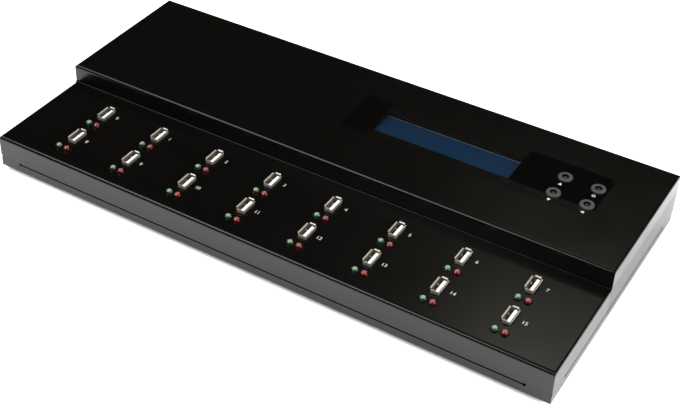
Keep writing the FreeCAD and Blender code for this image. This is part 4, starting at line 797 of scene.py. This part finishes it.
def flat_mark(work, outline, x, y, bottom, hole=()):
    """A thin raised mark with the given outline, and a hole of as many corners if it has one."""
    def ring(points, z):
        return [work.verts.new((x + px, y + py, z)) for px, py in points]
    loops = [outline, hole] if hole else [outline]
    low = [ring(points, bottom) for points in loops]
    high = [ring(points, bottom + INK_THICKNESS) for points in loops]
    count = len(outline)
    for lower, upper in zip(low, high):
        for index in range(count):
            after = (index + 1) % count
            work.faces.new((lower[index], lower[after], upper[after], upper[index]))
    if hole:
        for index in range(count):
            after = (index + 1) % count
            for level in (low, high):
                work.faces.new((level[0][index], level[0][after], level[1][after],
                                level[1][index]))
    else:
        work.faces.new(low[0][::-1])
        work.faces.new(high[0])


def circle_points(radius, count=28):
    """The corners of a fine polygon that stands for a circle."""
    turns = [2 * math.pi * k / count for k in range(count)]
    return [(radius * math.cos(turn), radius * math.sin(turn)) for turn in turns]


HALF_MARK = MARK_SIZE / 2
mark_shapes = {
    "button_up": ([(-HALF_MARK, -HALF_MARK), (HALF_MARK, -HALF_MARK), (0, HALF_MARK)], ()),
    "button_down": ([(-HALF_MARK, HALF_MARK), (0, -HALF_MARK), (HALF_MARK, HALF_MARK)], ()),
    "button_ok": (circle_points(HALF_MARK), circle_points(HALF_MARK * RING_HOLE)),
    "button_back": ([(HALF_MARK, -HALF_MARK), (HALF_MARK, HALF_MARK), (-HALF_MARK, 0)], ()),
}
mark_work = bmesh.new()
for button_name, (mark_outline, mark_hole) in mark_shapes.items():
    button_low, button_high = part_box(button_name)
    button_middle = (button_low + button_high) / 2
    flat_mark(mark_work, mark_outline, button_middle.x, button_middle.y - MARK_DROP, FILM_TOP,
              mark_hole)
bmesh.ops.recalc_face_normals(mark_work, faces=mark_work.faces)
mark_mesh = bpy.data.meshes.new("button_marks")
mark_work.to_mesh(mark_mesh)
mark_work.free()
ink_object("button_marks", mark_mesh)

# The back panel: a moulded power socket, and a rocker switch whose moulding snaps into the wall.
# Both are black; the rocker is glossier, has a shallow valley across it and is worn at its edges.
panel_plastic = new_finish("panel_plastic", (0.012, 0.012, 0.012), 0.5)
vary_colour(panel_plastic, clouds(panel_plastic, 0.002, 4.0),
            (0.009, 0.009, 0.009), (0.020, 0.020, 0.020))
vary_gloss(panel_plastic, mottle(panel_plastic, 0.001, 3.0), 0.42, 0.6)
grain(panel_plastic, mottle(panel_plastic, 0.0003, 2.0), 0.00001)
dress(["dc_jack", "switch_housing"], panel_plastic)
rocker_gloss = new_finish("rocker_gloss", (0.012, 0.012, 0.012), 0.22, {"Coat Weight": 0.3})
vary_colour(rocker_gloss, rubbed_edges(rocker_gloss, 0.0004, 0.4), (0.011, 0.011, 0.011),
            (0.05, 0.05, 0.05))
vary_gloss(rocker_gloss, mottle(rocker_gloss, 0.0012, 4.0), 0.16, 0.3)
grain(rocker_gloss, mottle(rocker_gloss, 0.0005, 2.0), 0.000005)
dress(["switch_rocker"], rocker_gloss)
